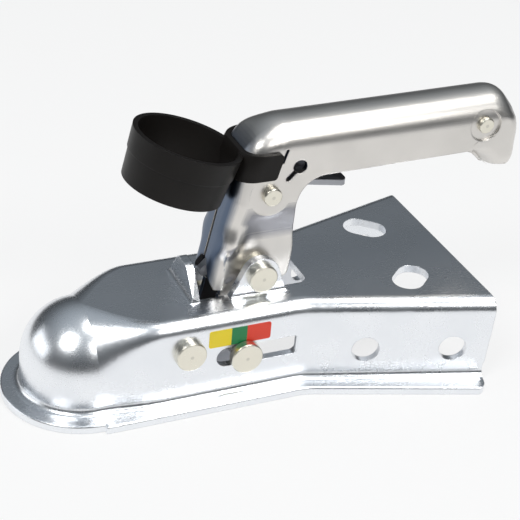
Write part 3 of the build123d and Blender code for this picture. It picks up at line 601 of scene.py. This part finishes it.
@dataclass(frozen=True)
class RivetFinish:
    """Slightly yellow plating with turned rings on the flat heads and a shallow centre mark."""

    slot: Slot
    node: str
    colour: Colour = (0.84, 0.81, 0.71, 1.0)
    shade: Colour = (0.74, 0.71, 0.61, 1.0)
    cloudiness: float = 0.6
    roughness: float = 0.27
    peel_rough: float = 0.06
    relief: Relief = Relief(edge_round=0.0005, bump_height=0.000010)
    ring_share: float = 0.5
    mark_radius: float = 0.0011
    mark_core: float = 0.6
    mark_strength: float = 0.35
    mark_colour: Colour = (0.35, 0.34, 0.31, 1.0)

    def build(self, effects: SharedEffects) -> Material:
        """Build the material.

        Args:
            effects: The shared groups.

        Returns:
            The material.
        """
        material, graph = Graph.of_material(f"{self.slot.value}_{self.node}")
        low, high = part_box(self.node)
        plate = graph.add("ShaderNodeGroup", {"node_tree": effects.plating}).outputs
        rings = graph.add("ShaderNodeGroup", {"node_tree": effects.rings}, Centre=(low + high) / 2).outputs
        core = self.mark_radius * self.mark_core
        mark = graph.spread(rings["Reach"], core, self.mark_radius, self.mark_strength, 0.0)
        cloud = graph.math("MULTIPLY", plate["Cloud"], self.cloudiness)
        colour = graph.mix(mark, graph.mix(cloud, self.colour, self.shade), self.mark_colour)
        rough = graph.plus(self.roughness, plate["Peel"], self.peel_rough)
        height = graph.plus(plate["Peel"], rings["Ring"], self.ring_share)
        normal = self.relief.normal(graph, height)
        graph.shade(Base_Color=colour, Metallic=1.0, Roughness=rough, Normal=normal)
        return material


@dataclass(frozen=True)
class PlasticFinish:
    """Satin moulded plastic."""

    slot: Slot
    colour: Colour
    shade: Colour
    roughness: float
    cloud_rough: float = 0.10
    specular: float = 0.22
    relief: Relief = Relief(edge_round=0.0006, bump_height=0.00002, strength=0.3)

    def build(self, effects: SharedEffects) -> Material:
        """Build the material.

        Args:
            effects: The shared groups.

        Returns:
            The material.
        """
        material, graph = Graph.of_material(self.slot.value)
        plate = graph.add("ShaderNodeGroup", {"node_tree": effects.plating}).outputs
        colour = graph.mix(plate["Cloud"], self.colour, self.shade)
        rough = graph.plus(self.roughness, plate["Cloud"], self.cloud_rough)
        normal = self.relief.normal(graph, plate["Peel"])
        graph.shade(Base_Color=colour, Roughness=rough, Normal=normal, Specular_IOR_Level=self.specular)
        return material


@dataclass(frozen=True)
class LabelFinish:
    """Printed film in three plain fields along X."""

    slot: Slot
    first_end: float = 0.0642
    second_end: float = 0.0722
    yellow: Colour = (0.90, 0.70, 0.02, 1.0)
    green: Colour = (0.01, 0.22, 0.07, 1.0)
    red: Colour = (0.80, 0.05, 0.02, 1.0)
    roughness: float = 0.35
    cloud_rough: float = 0.1

    def build(self, effects: SharedEffects) -> Material:
        """Build the material.

        Args:
            effects: The shared groups.

        Returns:
            The material.
        """
        material, graph = Graph.of_material(self.slot.value)
        place = graph.add("ShaderNodeTexCoord").outputs["Object"]
        along = graph.add("ShaderNodeSeparateXYZ", Vector=place).outputs["X"]
        colour = graph.mix(graph.math("GREATER_THAN", along, self.first_end), self.yellow, self.green)
        colour = graph.mix(graph.math("GREATER_THAN", along, self.second_end), colour, self.red)
        plate = graph.add("ShaderNodeGroup", {"node_tree": effects.plating}).outputs
        rough = graph.plus(self.roughness, plate["Cloud"], self.cloud_rough)
        graph.shade(Base_Color=colour, Roughness=rough)
        return material


Finish = ZincFinish | RivetFinish | PlasticFinish | LabelFinish


@dataclass(frozen=True)
class Dressing:
    """Pieces that take one finish."""

    finish: Finish
    nodes: tuple[str, ...]

    def dress(self, effects: SharedEffects) -> Material:
        """Give the pieces their material and slot.

        Args:
            effects: The shared groups.

        Returns:
            The material.
        """
        material = self.finish.build(effects)
        for name in self.nodes:
            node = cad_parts[name]
            node.data.materials.clear()
            node.data.materials.append(material)
        LOG.info("dressed %s", ", ".join(self.nodes))
        return material


class WireTree:
    """Node tree of a coil of round wire along Z, with two straight ends and two end loops."""

    TURN_STEPS = 28
    WIRE_SIDES = 10
    LOOP_STEPS = 40
    INPUTS = (
        "Wire Radius",
        "Coil Radius",
        "Turns",
        "Start",
        "Length",
        "First Loop",
        "Last Loop",
        "Last Loop Place",
    )

    def __init__(self, name: str, material: Material) -> None:
        """Build the tree.

        Args:
            name: Name of the tree.
            material: Material of the wire.
        """
        self.tree = bpy.data.node_groups.new(name, "GeometryNodeTree")
        self.tree.interface.new_socket("Geometry", in_out="OUTPUT", socket_type="NodeSocketGeometry")
        self.sockets: dict[str, str] = {}
        for key in self.INPUTS:
            socket = self.tree.interface.new_socket(key, in_out="INPUT", socket_type="NodeSocketFloat")
            self.sockets[key] = socket.identifier
        self.fill(material)

    def fill(self, material: Material) -> None:
        """Add the nodes.

        Args:
            material: Material of the wire.
        """
        graph = Graph(self.tree)
        given = graph.add("NodeGroupInput").outputs
        coil = graph.add(
            "GeometryNodeCurveSpiral",
            Resolution=self.TURN_STEPS,
            Rotations=given["Turns"],
            Start_Radius=given["Coil Radius"],
            End_Radius=given["Coil Radius"],
            Height=given["Length"],
            Reverse=False,
        )
        lift = graph.add("ShaderNodeCombineXYZ", Z=given["Start"])
        placed = graph.add("GeometryNodeTransform", Geometry=coil.outputs[0], Translation=lift.outputs[0])
        end = graph.math("ADD", given["Start"], given["Length"])
        first_touch = given["First Loop"]
        last_touch = graph.math("SUBTRACT", given["Last Loop Place"], given["Last Loop"])
        curves = [
            placed.outputs[0],
            self.tie(graph, given["Coil Radius"], given["Start"], first_touch),
            self.tie(graph, given["Coil Radius"], end, last_touch),
            self.loop(graph, given["First Loop"], 0.0),
            self.loop(graph, given["Last Loop"], given["Last Loop Place"]),
        ]
        joined = graph.add("GeometryNodeJoinGeometry")
        for curve in curves:
            self.tree.links.new(curve, joined.inputs[0])
        round_wire = graph.add(
            "GeometryNodeCurvePrimitiveCircle", Resolution=self.WIRE_SIDES, Radius=given["Wire Radius"]
        ).outputs[0]
        wire = graph.add("GeometryNodeCurveToMesh", Curve=joined.outputs[0], Profile_Curve=round_wire)
        wire.inputs["Fill Caps"].default_value = True
        real = graph.add("GeometryNodeRealizeInstances", Geometry=wire.outputs[0])
        dressed = graph.add("GeometryNodeSetMaterial", Geometry=real.outputs[0], Material=material)
        graph.add("NodeGroupOutput", Geometry=dressed.outputs[0])

    @staticmethod
    def tie(graph: Graph, radius: Any, height: Any, touch: Any) -> Socket:
        """Straight wire from the end of the coil to the top of a loop.

        Args:
            graph: The tree's graph.
            radius: Radius of the coil.
            height: Height of the coil's end.
            touch: Height at which the loop is met.

        Returns:
            The curve.
        """
        start = graph.add("ShaderNodeCombineXYZ", X=radius, Z=height)
        end = graph.add("ShaderNodeCombineXYZ", Z=touch)
        line = graph.add("GeometryNodeCurvePrimitiveLine", Start=start.outputs[0], End=end.outputs[0])
        return line.outputs[0]

    @classmethod
    def loop(cls, graph: Graph, radius: Any, height: Any) -> Socket:
        """Closed eye round a pin along Y.

        Args:
            graph: The tree's graph.
            radius: Radius of the eye.
            height: Height of its centre.

        Returns:
            The curve.
        """
        ring = graph.add("GeometryNodeCurvePrimitiveCircle", Resolution=cls.LOOP_STEPS, Radius=radius)
        lift = graph.add("ShaderNodeCombineXYZ", Z=height)
        turned = graph.add(
            "GeometryNodeTransform",
            Geometry=ring.outputs[0],
            Translation=lift.outputs[0],
            Rotation=(math.pi / 2, 0.0, 0.0),
        )
        return turned.outputs[0]

    def make(self, name: str, sizes_mm: dict[str, float], place: Matrix) -> bpy.types.Object:
        """Make one wire piece as a plain mesh in the row frame.

        Args:
            name: Name of the piece.
            sizes_mm: Values of the tree's inputs; lengths in millimetres.
            place: Placing of the coil's own frame.

        Returns:
            The new object, at the origin.
        """
        draft = added(f"{name}_draft", bpy.data.meshes.new(f"{name}_draft"))
        modifier = draft.modifiers.new("wire", "NODES")
        modifier.node_group = self.tree
        for key, value in sizes_mm.items():
            modifier[self.sockets[key]] = value if key == "Turns" else value * MM
        depsgraph = bpy.context.evaluated_depsgraph_get()
        mesh = bpy.data.meshes.new_from_object(draft.evaluated_get(depsgraph))
        draft.modifiers.remove(modifier)
        bpy.data.objects.remove(draft)
        mesh.transform(place)
        mesh.shade_smooth()
        mesh.name = name
        return added(name, mesh)


@dataclass(frozen=True)
class JawSprings:
    """Pair of tension springs between the jaw rivet's sleeve and the indicator pin."""

    wire_radius: float = 0.8
    coil_radius: float = 3.4
    turns: float = 8.0
    play: float = 0.25
    pin_radius: float = 4.0

    def build(self, tree: WireTree) -> None:
        """Make both springs in place of the plain ones of the model.

        Args:
            tree: Tree of the wire.
        """
        sleeve_low, sleeve_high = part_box("jaw_guide_sleeve")
        pin_low, pin_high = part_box("indicator_pin")
        front = (sleeve_low + sleeve_high) / 2
        rear = (pin_low + pin_high) / 2
        sleeve_radius = (sleeve_high.x - sleeve_low.x) / 2 / MM
        run = (rear - front).length / MM
        first_loop = sleeve_radius + self.play + self.wire_radius
        last_loop = self.pin_radius + self.play + self.wire_radius
        start = first_loop + 2 * self.wire_radius
        sizes = {
            "Wire Radius": self.wire_radius,
            "Coil Radius": self.coil_radius,
            "Turns": self.turns,
            "Start": start,
            "Length": run - start - last_loop - 2 * self.wire_radius,
            "First Loop": first_loop,
            "Last Loop": last_loop,
            "Last Loop Place": run,
        }
        slope = math.atan2(rear.x - front.x, rear.z - front.z)
        for side in Side:
            node = f"jaw_spring_{side.name.lower()}"
            low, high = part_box(node)
            middle = (low.y + high.y) / 2
            place = Matrix.Translation((front.x, middle, front.z)) @ Matrix.Rotation(slope, 4, "Y")
            piece = tree.make(f"wire_{node}", sizes, place)
            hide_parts(node)
            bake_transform(piece)
            LOG.info("wound %s", node)


@dataclass(frozen=True)
class LeverShell:
    """Pressed lever with a round top, smoothly sloping leg walls and a closed grip end, in millimetres."""

    foot: Span = (58.8, 32.0)
    lean_deg: float = 11.3
    leg_half: float = 13.0
    grip_half: float = 15.0
    arm_half: float = 10.0
    taper: Span = (60.0, 77.0)
    joggle_front: float = 66.5
    joggle_top: float = 51.5
    joggle_slope_deg: float = 40.0
    slope: Span = (53.0, 79.0)
    corner: Span = (5.0, 16.0)
    bulge: float = 2.6
    bulge_place: float = 57.0
    bulge_reach: float = 10.0
    pad: Span = (87.0, 82.0)
    pad_rim: Span = (11.2, 13.5)
    foot_fade: float = 5.0
    web_fade: Span = (4.0, 10.0)
    grip_start: float = 115.0
    lobe_front: float = 200.5
    lobe_corner: float = 8.5
    lobe_level: float = 79.5
    dish: Span = (200.3, 95.0)
    dish_fade: Span = (178.3, 190.3)
    dish_overlap: float = 1.4
    edge_fade: float = 11.0
    edge_drop: float = 3.2
    grip_end: float = 226.0
    end_draw: float = 4.0
    dish_end: float = 209.0
    slant_start: Span = (197.3, 89.4)
    slant_end: Span = (209.4, 77.1)
    slant_fade: float = 186.0
    lobe_round: float = 7.0
    lobe_growth: Span = (-4.0, 5.0)
    lobe_margin: float = 6.0
    lobe_side: float = 8.0
    lobe_floor: float = 78.0
    lobe_cuts: int = 9
    strip_start: float = -1.0
    strip_past: float = 1.5
    strip_cuts: int = 16
    sheet: float = 3.0
    edge_radius: float = 7.95
    bend: Span = (96.9, 90.0)
    bend_radius: float = 26.0
    bend_round_deg: Span = (10.0, 48.0)
    wall_depth: float = 12.1
    crown: float = 1.65
    crown_end: float = 206.0
    play: float = 0.1
    fine_step: float = 1.5
    long_step: float = 3.0
    sharp_deg: float = 32.0
    side: float = 16.0
    top_zone: Zone = ((72.0, -16.0, 98.0), (227.0, 16.0, 117.0))
    leg_zone: Zone = ((58.0, -16.0, 33.0), (108.0, 16.0, 81.0))
    grip_zone: Zone = ((110.0, -16.0, 79.0), (227.0, 16.0, 107.0))

    def build(self, material: Material) -> None:
        """Make the shell from a finer copy of the lever's solid.

        Args:
            material: Its finish.
        """
        work = bmesh.new()
        work.from_mesh(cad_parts["lever"].data)
        work.transform(Matrix.Scale(1.0 / MM, 4))
        self.cut(work, self.leg_zone, 0, self.fine_step)
        self.cut(work, self.leg_zone, 2, self.fine_step)
        self.cut(work, self.grip_zone, 0, self.long_step)
        self.cut(work, self.grip_zone, 2, self.fine_step)
        self.cut(work, self.top_zone, 0, self.long_step)
        self.cut(work, self.top_zone, 1, self.fine_step)
        self.cut(work, self.top_zone, 2, self.fine_step)
        for corner in work.verts:
            self.round_top(corner.co)
            self.shape_leg(corner.co)
            self.shape_grip(corner.co)
        self.cut_slant(work)
        for corner in work.verts:
            self.round_lobe(corner.co)
        self.close_lobe(work)
        work.transform(Matrix.Scale(MM, 4))
        work.verts.index_update()
        corners = [corner.co[:] for corner in work.verts]
        faces = [[corner.index for corner in face.verts] for face in work.faces]
        work.free()
        mesh = bpy.data.meshes.new("lever_shell")
        mesh.from_pydata(corners, [], faces)
        mesh.shade_smooth()
        mesh.set_sharp_from_angle(angle=math.radians(self.sharp_deg))
        mesh.materials.append(material)
        shell = added("lever_shell", mesh)
        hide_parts("lever")
        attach(shell, "lever")
        LOG.info("reshaped lever")

    @staticmethod
    def near_zone(work: BMesh, zone: Zone) -> list[Any]:
        """Faces, edges and corners that reach into a zone.

        Args:
            work: The mesh.
            zone: Lowest and highest corner.

        Returns:
            The geometry.
        """
        low, high = zone
        faces = []
        for face in work.faces:
            spans = list(zip(*(corner.co for corner in face.verts)))
            if all(max(span) > low[axis] and min(span) < high[axis] for axis, span in enumerate(spans)):
                faces.append(face)
        edges = {edge for face in faces for edge in face.edges}
        corners = {corner for face in faces for corner in face.verts}
        return [*faces, *edges, *corners]

    def cut(self, work: BMesh, zone: Zone, axis: int, step: float) -> None:
        """Divide the faces of a zone by evenly spaced planes.

        Args:
            work: The mesh.
            zone: Lowest and highest corner.
            axis: Axis across the planes.
            step: Their spacing.
        """
        normal = Vector([float(axis == each) for each in range(3)])
        geometry = self.near_zone(work, zone)
        for number in range(int((zone[1][axis] - zone[0][axis]) / step) + 1):
            place = normal * (zone[0][axis] + number * step)
            geometry = bmesh.ops.bisect_plane(work, geom=geometry, plane_co=place, plane_no=normal)["geom"]

    def slant(self) -> tuple[Vector, Vector, Vector, float]:
        """Front edge of the lobe at the grip's end.

        Returns:
            Its start, its direction, the direction into the lobe and its length.
        """
        start = Vector((self.slant_start[0], 0.0, self.slant_start[1]))
        run = Vector((self.slant_end[0], 0.0, self.slant_end[1])) - start
        along = run.normalized()
        return start, along, Vector((-along.z, 0.0, along.x)), run.length

    def cut_slant(self, work: BMesh) -> None:
        """Divide the lobe by planes beside its front edge, closer together near the edge.

        Args:
            work: The mesh.
        """
        start, _, inward, length = self.slant()
        low = (start.x - self.lobe_margin, -self.side, self.lobe_floor)
        high = (start.x + length + self.lobe_side, self.side, start.z + self.lobe_side)
        geometry = self.near_zone(work, (low, high))
        for number in range(1, self.lobe_cuts + 1):
            turn = number * math.pi / 2 / self.lobe_cuts
            place = start + inward * self.lobe_round * (1.0 - math.cos(turn))
            geometry = bmesh.ops.bisect_plane(work, geom=geometry, plane_co=place, plane_no=inward)["geom"]

    def leg_walls(self, x: float, z: float) -> Span:
        """Half widths of the leg as the solid has it.

        Args:
            x: Place along the coupling.
            z: Height.

        Returns:
            The half width at its front corners, and that of its wall at this place.
        """
        low, high = self.taper
        share = min(max((z - low) / (high - low), 0.0), 1.0)
        width = self.leg_half + (self.grip_half - self.leg_half) * share
        inside = min(x - self.joggle_front, self.joggle_top - z)
        depth = max(inside, 0.0) / math.tan(math.radians(self.joggle_slope_deg))
        return width, width - min(depth, self.leg_half - self.arm_half)

    def shape_leg(self, point: Vector) -> None:
        """Slope the leg's walls in towards the fork arms, and round its front corners out.

        Args:
            point: The corner to move.
        """
        x, y, z = point
        low, high = self.leg_zone
        if not (low[0] < x < high[0] and low[2] < z < high[2]):
            return
        set_back = x - self.foot[0] - (z - self.foot[1]) * math.tan(math.radians(self.lean_deg))
        front, wall = self.leg_walls(x, z)
        front += self.bulge * (1.0 - ease(0.0, self.bulge_reach, abs(z - self.bulge_place)))
        rear = self.arm_half + (self.grip_half - self.arm_half) * ease(*self.slope, z)
        behind = ease(*self.corner, set_back)
        target = front * (1.0 - behind) + rear * behind
        clear = ease(*self.pad_rim, math.hypot(x - self.pad[0], z - self.pad[1]))
        clear *= ease(low[2], low[2] + self.foot_fade, z) * ease(*self.web_fade, abs(y))
        point.y = math.copysign(abs(y) + (target - wall) * clear, y)

    def round_top(self, point: Vector) -> None:
        """Make the flat top of the grip and the bend round.

        Args:
            point: The corner to move.
        """
        arm = Vector((min(point.x - self.bend[0], 0.0), 0.0, point.z - self.bend[1]))
        depth = self.bend_radius - arm.length
        if arm.z <= 0.0 or depth >= self.wall_depth:
            return
        turned = math.degrees(math.atan2(-arm.x, arm.z))
        across = abs(point.y)
        flat = self.grip_half - self.edge_radius
        quarter = self.edge_radius * math.pi / 2
        if across <= flat:
            inset = depth
            run = across
        elif depth < self.edge_radius:
            inset = self.edge_radius - math.hypot(across - flat, self.edge_radius - depth)
            run = flat + self.edge_radius * math.atan2(across - flat, self.edge_radius - depth)
        else:
            inset = self.grip_half - across
            run = flat + quarter + depth - self.edge_radius
        share = 1.0 - ease(*self.bend_round_deg, turned)
        share *= 1.0 - ease(self.sheet + self.play, self.edge_radius, inset)
        angle = run / (flat + quarter + self.wall_depth - self.edge_radius) * math.pi / 2
        along = (point.x - self.bend[0]) / (self.crown_end - self.bend[0])
        rise = self.crown * min(max(along, 0.0), 1.0)
        new_across = (self.grip_half - inset) * math.sin(angle)
        new_depth = self.wall_depth - (self.wall_depth + rise - inset) * math.cos(angle)
        point.y = math.copysign(across + (new_across - across) * share, point.y)
        outward = arm.normalized() * (depth - new_depth) * share
        point.x += outward.x
        point.z += outward.z

    def shape_grip(self, point: Vector) -> None:
        """Straighten the grip's open edge, draw in its end and slant the front of its lobe.

        Args:
            point: The corner to move.
        """
        x, _, z = point
        if x < self.grip_start:
            return
        at_dish = ease(*self.dish_fade, x)
        low = self.dish[1] - self.dish_overlap * at_dish
        high = self.dish[1] + self.edge_fade * (1.0 - at_dish)
        edge = 1.0 - ease(low, high, z)
        along = min((x - self.grip_start) / (self.lobe_front - self.grip_start), 1.0)
        drop = self.edge_drop * along * edge
        front = self.lobe_front
        below = self.lobe_level + self.lobe_corner - z
        if below > 0.0:
            front += self.lobe_corner - math.sqrt(max(self.lobe_corner**2 - below**2, 0.0))
        lean = (self.slant_end[0] - self.slant_start[0]) / (self.slant_start[1] - self.slant_end[1])
        shift = self.slant_start[0] + lean * (self.slant_start[1] - (z - drop)) - front
        shift *= edge * ease(self.slant_fade, front, x) * (1.0 - ease(front, self.grip_end, x))
        point.x = x + shift - self.end_draw * ease(self.dish_end, self.grip_end, x)
        point.z = z - drop

    def lobe_radius(self, along: float) -> float:
        """Radius of the lobe's front edge, which grows from nothing at the grip's open edge.

        Args:
            along: Distance from the top of the front edge.

        Returns:
            The radius.
        """
        return self.lobe_round * ease(*self.lobe_growth, along)

    def round_lobe(self, point: Vector) -> None:
        """Turn the lobe's walls in to its front edge.

        Args:
            point: The corner to move.
        """
        start, along, inward, length = self.slant()
        away = Vector((point.x, 0.0, point.z)) - start
        place = away.dot(along)
        depth = max(away.dot(inward), 0.0)
        beside = self.lobe_growth[0] < place < length + self.lobe_margin
        if point.x < start.x - self.lobe_margin or not beside:
            return
        radius = self.lobe_radius(place)
        if depth >= radius:
            return
        limit = self.grip_half - radius + math.sqrt(radius**2 - (radius - depth) ** 2)
        if abs(point.y) < self.grip_half - self.sheet / 2:
            limit -= self.sheet
            set_back = inward * self.sheet / 2 * (1.0 - depth / radius)
            point.x += set_back.x
            point.z += set_back.z
        point.y = math.copysign(min(abs(point.y), limit), point.y)

    def close_lobe(self, work: BMesh) -> None:
        """Close the front of the lobe between its two walls.

        Args:
            work: The mesh.
        """
        start, along, _, length = self.slant()
        previous = None
        for number in range(self.strip_cuts + 1):
            place = self.strip_start + (length + self.strip_past) * number / self.strip_cuts
            half = self.grip_half - self.lobe_radius(place)
            middle = start + along * place
            pair = [work.verts.new((middle.x, side.value * half, middle.z)) for side in Side]
            if previous:
                work.faces.new((previous[1], pair[1], pair[0], previous[0]))
            previous = pair


def reshaped(node: str, shape: Callable[[Vector], Vector], material: Material) -> bpy.types.Object:
    """Copy a solid's mesh, carry its corners to new places and show it instead of the solid.

    Args:
        node: Name of the solid.
        shape: Gives a corner's new place, in millimetres.
        material: Finish of the copy.

    Returns:
        The new object.
    """
    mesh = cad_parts[node].data.copy()
    mesh.name = f"{node}_shell"
    for corner in mesh.vertices:
        corner.co = shape(corner.co / MM) * MM
    mesh.materials.clear()
    mesh.materials.append(material)
    shell = added(f"{node}_shell", mesh)
    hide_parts(node)
    LOG.info("reshaped %s", node)
    return shell


@dataclass(frozen=True)
class HousingLip:
    """Pressed housing whose upright front lip slopes down to both sides from its crest, in millimetres."""

    plate: float = 29.25
    height: float = 12.8
    lean_deg: float = 10.0
    foot_half: float = 16.0
    solid_half: float = 11.0
    solid_corner: float = 1.5
    crest_half: float = 5.2
    crest_corner: float = 5.0
    crest_height: float = 15.2
    zone: Span = (44.0, 62.0)
    corner_start: float = 11.0

    def outline(self, half: float, height: float, corner: float) -> tuple[float, float, float]:
        """Rounded corner between one sloped end of the lip and its top.

        Args:
            half: Half width of the sharp top.
            height: Height of the top above the plate.
            corner: Radius of the corner.

        Returns:
            Centre of the corner across the coupling, its height, and the angle of its turn.
        """
        turn = math.atan2(height, self.foot_half - half)
        return half - corner * math.tan(turn / 2), height - corner, turn

    def shape(self, point: Vector) -> Vector:
        """Carry a corner of the solid's leaning lip to the upright crest.

        Args:
            point: The corner.

        Returns:
            Its new place.
        """
        x, y, z = point
        level = z - self.plate
        if not self.zone[0] < x < self.zone[1] or level < self.corner_start:
            return point
        middle, centre, turn = self.outline(self.solid_half, self.height, self.solid_corner)
        angle = math.pi / 2 - math.atan2(level - centre, abs(y) - middle)
        middle, centre, new_turn = self.outline(self.crest_half, self.crest_height, self.crest_corner)
        angle *= new_turn / turn
        new_level = centre + self.crest_corner * math.cos(angle)
        new_y = middle + self.crest_corner * math.sin(angle)
        upright = x - level * math.tan(math.radians(self.lean_deg))
        return Vector((upright, math.copysign(new_y, y), self.plate + new_level))

    def build(self, material: Material) -> None:
        """Make the shell from a copy of the housing's solid.

        Args:
            material: Its finish.
        """
        shell = reshaped("housing", self.shape, material)
        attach(shell, "root")


@dataclass(frozen=True)
class CatchPlate:
    """Safety catch whose thumb plate rises forward on both sides of its rib, in millimetres."""

    front: Span = (110.5, 114.5)
    level: Span = (78.5, 82.5)
    rib_half: float = 2.5
    reach: float = 14.0
    rise: float = 4.5

    def shape(self, point: Vector) -> Vector:
        """Carry the front corners of the plate forward and up.

        Args:
            point: The corner.

        Returns:
            Its new place.
        """
        x, y, z = point
        at_front = self.front[0] < x < self.front[1] and self.level[0] < z < self.level[1]
        if at_front and abs(y) > self.rib_half:
            return Vector((x - self.reach, y, z + self.rise))
        return point

    def build(self, material: Material) -> None:
        """Make the catch from a copy of its solid.

        Args:
            material: Its finish.
        """
        shell = reshaped("catch", self.shape, material)
        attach(shell, "catch")


def dressings() -> list[Dressing]:
    """Finishes of all the pieces.

    Returns:
        Each finish with the pieces that take it.
    """
    bright = (0.89, 0.91, 0.94, 1.0)
    bright_shade = (0.80, 0.83, 0.87, 1.0)
    warm = (0.76, 0.735, 0.70, 1.0)
    warm_shade = (0.66, 0.64, 0.61, 1.0)
    # Painted shade inside the lever.
    painted_shade_dark = (0.05, 0.05, 0.055, 1.0)
    # Painted blue-grey reflection on the lever's front.
    painted_reflection_blue = (0.12, 0.155, 0.22, 1.0)
    # Painted shade on the lever's downward-tilting leg walls.
    painted_shade_grey = (0.29, 0.29, 0.31, 1.0)
    steel = (0.42, 0.43, 0.46, 1.0)
    steel_shade = (0.34, 0.35, 0.37, 1.0)
    wire_shade = (0.30, 0.31, 0.33, 1.0)
    black = (0.010, 0.0085, 0.0075, 1.0)
    black_shade = (0.0075, 0.006375, 0.005625, 1.0)
    soft_edges = Relief(edge_round=0.001, bump_height=0.000022)
    even = {"painted_inner_shade": bright, "front": bright, "painted_downward_shade": bright}
    # Painted shade and painted reflection colours of the lever's leg.
    painted_light_tones = {"painted_inner_shade": painted_shade_dark, "front": painted_reflection_blue, "painted_downward_shade": painted_shade_grey}
    grey = {"painted_inner_shade": steel, "front": steel, "painted_downward_shade": steel}
    sheet = ZincFinish(Slot.SHEET, bright, bright_shade, roughness=0.25, **even)
    lever = ZincFinish(Slot.LEVER, warm, warm_shade, roughness=0.33, relief=soft_edges, **painted_light_tones)
    jaw = ZincFinish(Slot.JAW, steel, steel_shade, roughness=0.38, **grey)
    wire = ZincFinish(Slot.SPRING, steel, wire_shade, roughness=0.32, **grey)
    plastic = PlasticFinish(Slot.PLASTIC, black, black_shade, roughness=0.38)
    plain = [
        Dressing(sheet, ("housing",)),
        Dressing(lever, ("lever",)),
        Dressing(jaw, ("ball_jaw", "catch")),
        Dressing(wire, ("jaw_spring_near", "jaw_spring_far", "catch_spring")),
        Dressing(plastic, ("cap_holder_ring",)),
        Dressing(LabelFinish(Slot.LABEL), ("indicator_label",)),
    ]
    mates = {
        "jaw_pin": ("jaw_guide_sleeve",),
        "indicator_pin": (),
        "lever_pivot_pin": ("pivot_bush_near", "pivot_bush_far"),
        "catch_pin": ("catch_spacer_near", "catch_spacer_far"),
        "grip_end_pin": ("grip_end_spacer",),
    }
    rivets = [Dressing(RivetFinish(Slot.RIVET, pin), (pin, *others)) for pin, others in mates.items()]
    return plain + rivets


def main() -> None:
    """Build the looks, the studio and the camera."""
    logging.basicConfig(level=logging.INFO)
    bpy.context.scene.view_settings.view_transform = "Standard"
    effects = SharedEffects()
    materials = {dressing.finish.slot: dressing.dress(effects) for dressing in dressings()}
    LeverShell().build(materials[Slot.LEVER])
    HousingLip().build(materials[Slot.SHEET])
    CatchPlate().build(materials[Slot.JAW])
    JawSprings().build(WireTree("coiled_wire", materials[Slot.SPRING]))
    Studio().build()
    Camera().build()
    LOG.info("looks are ready")


if __name__ == "__main__":
    main()
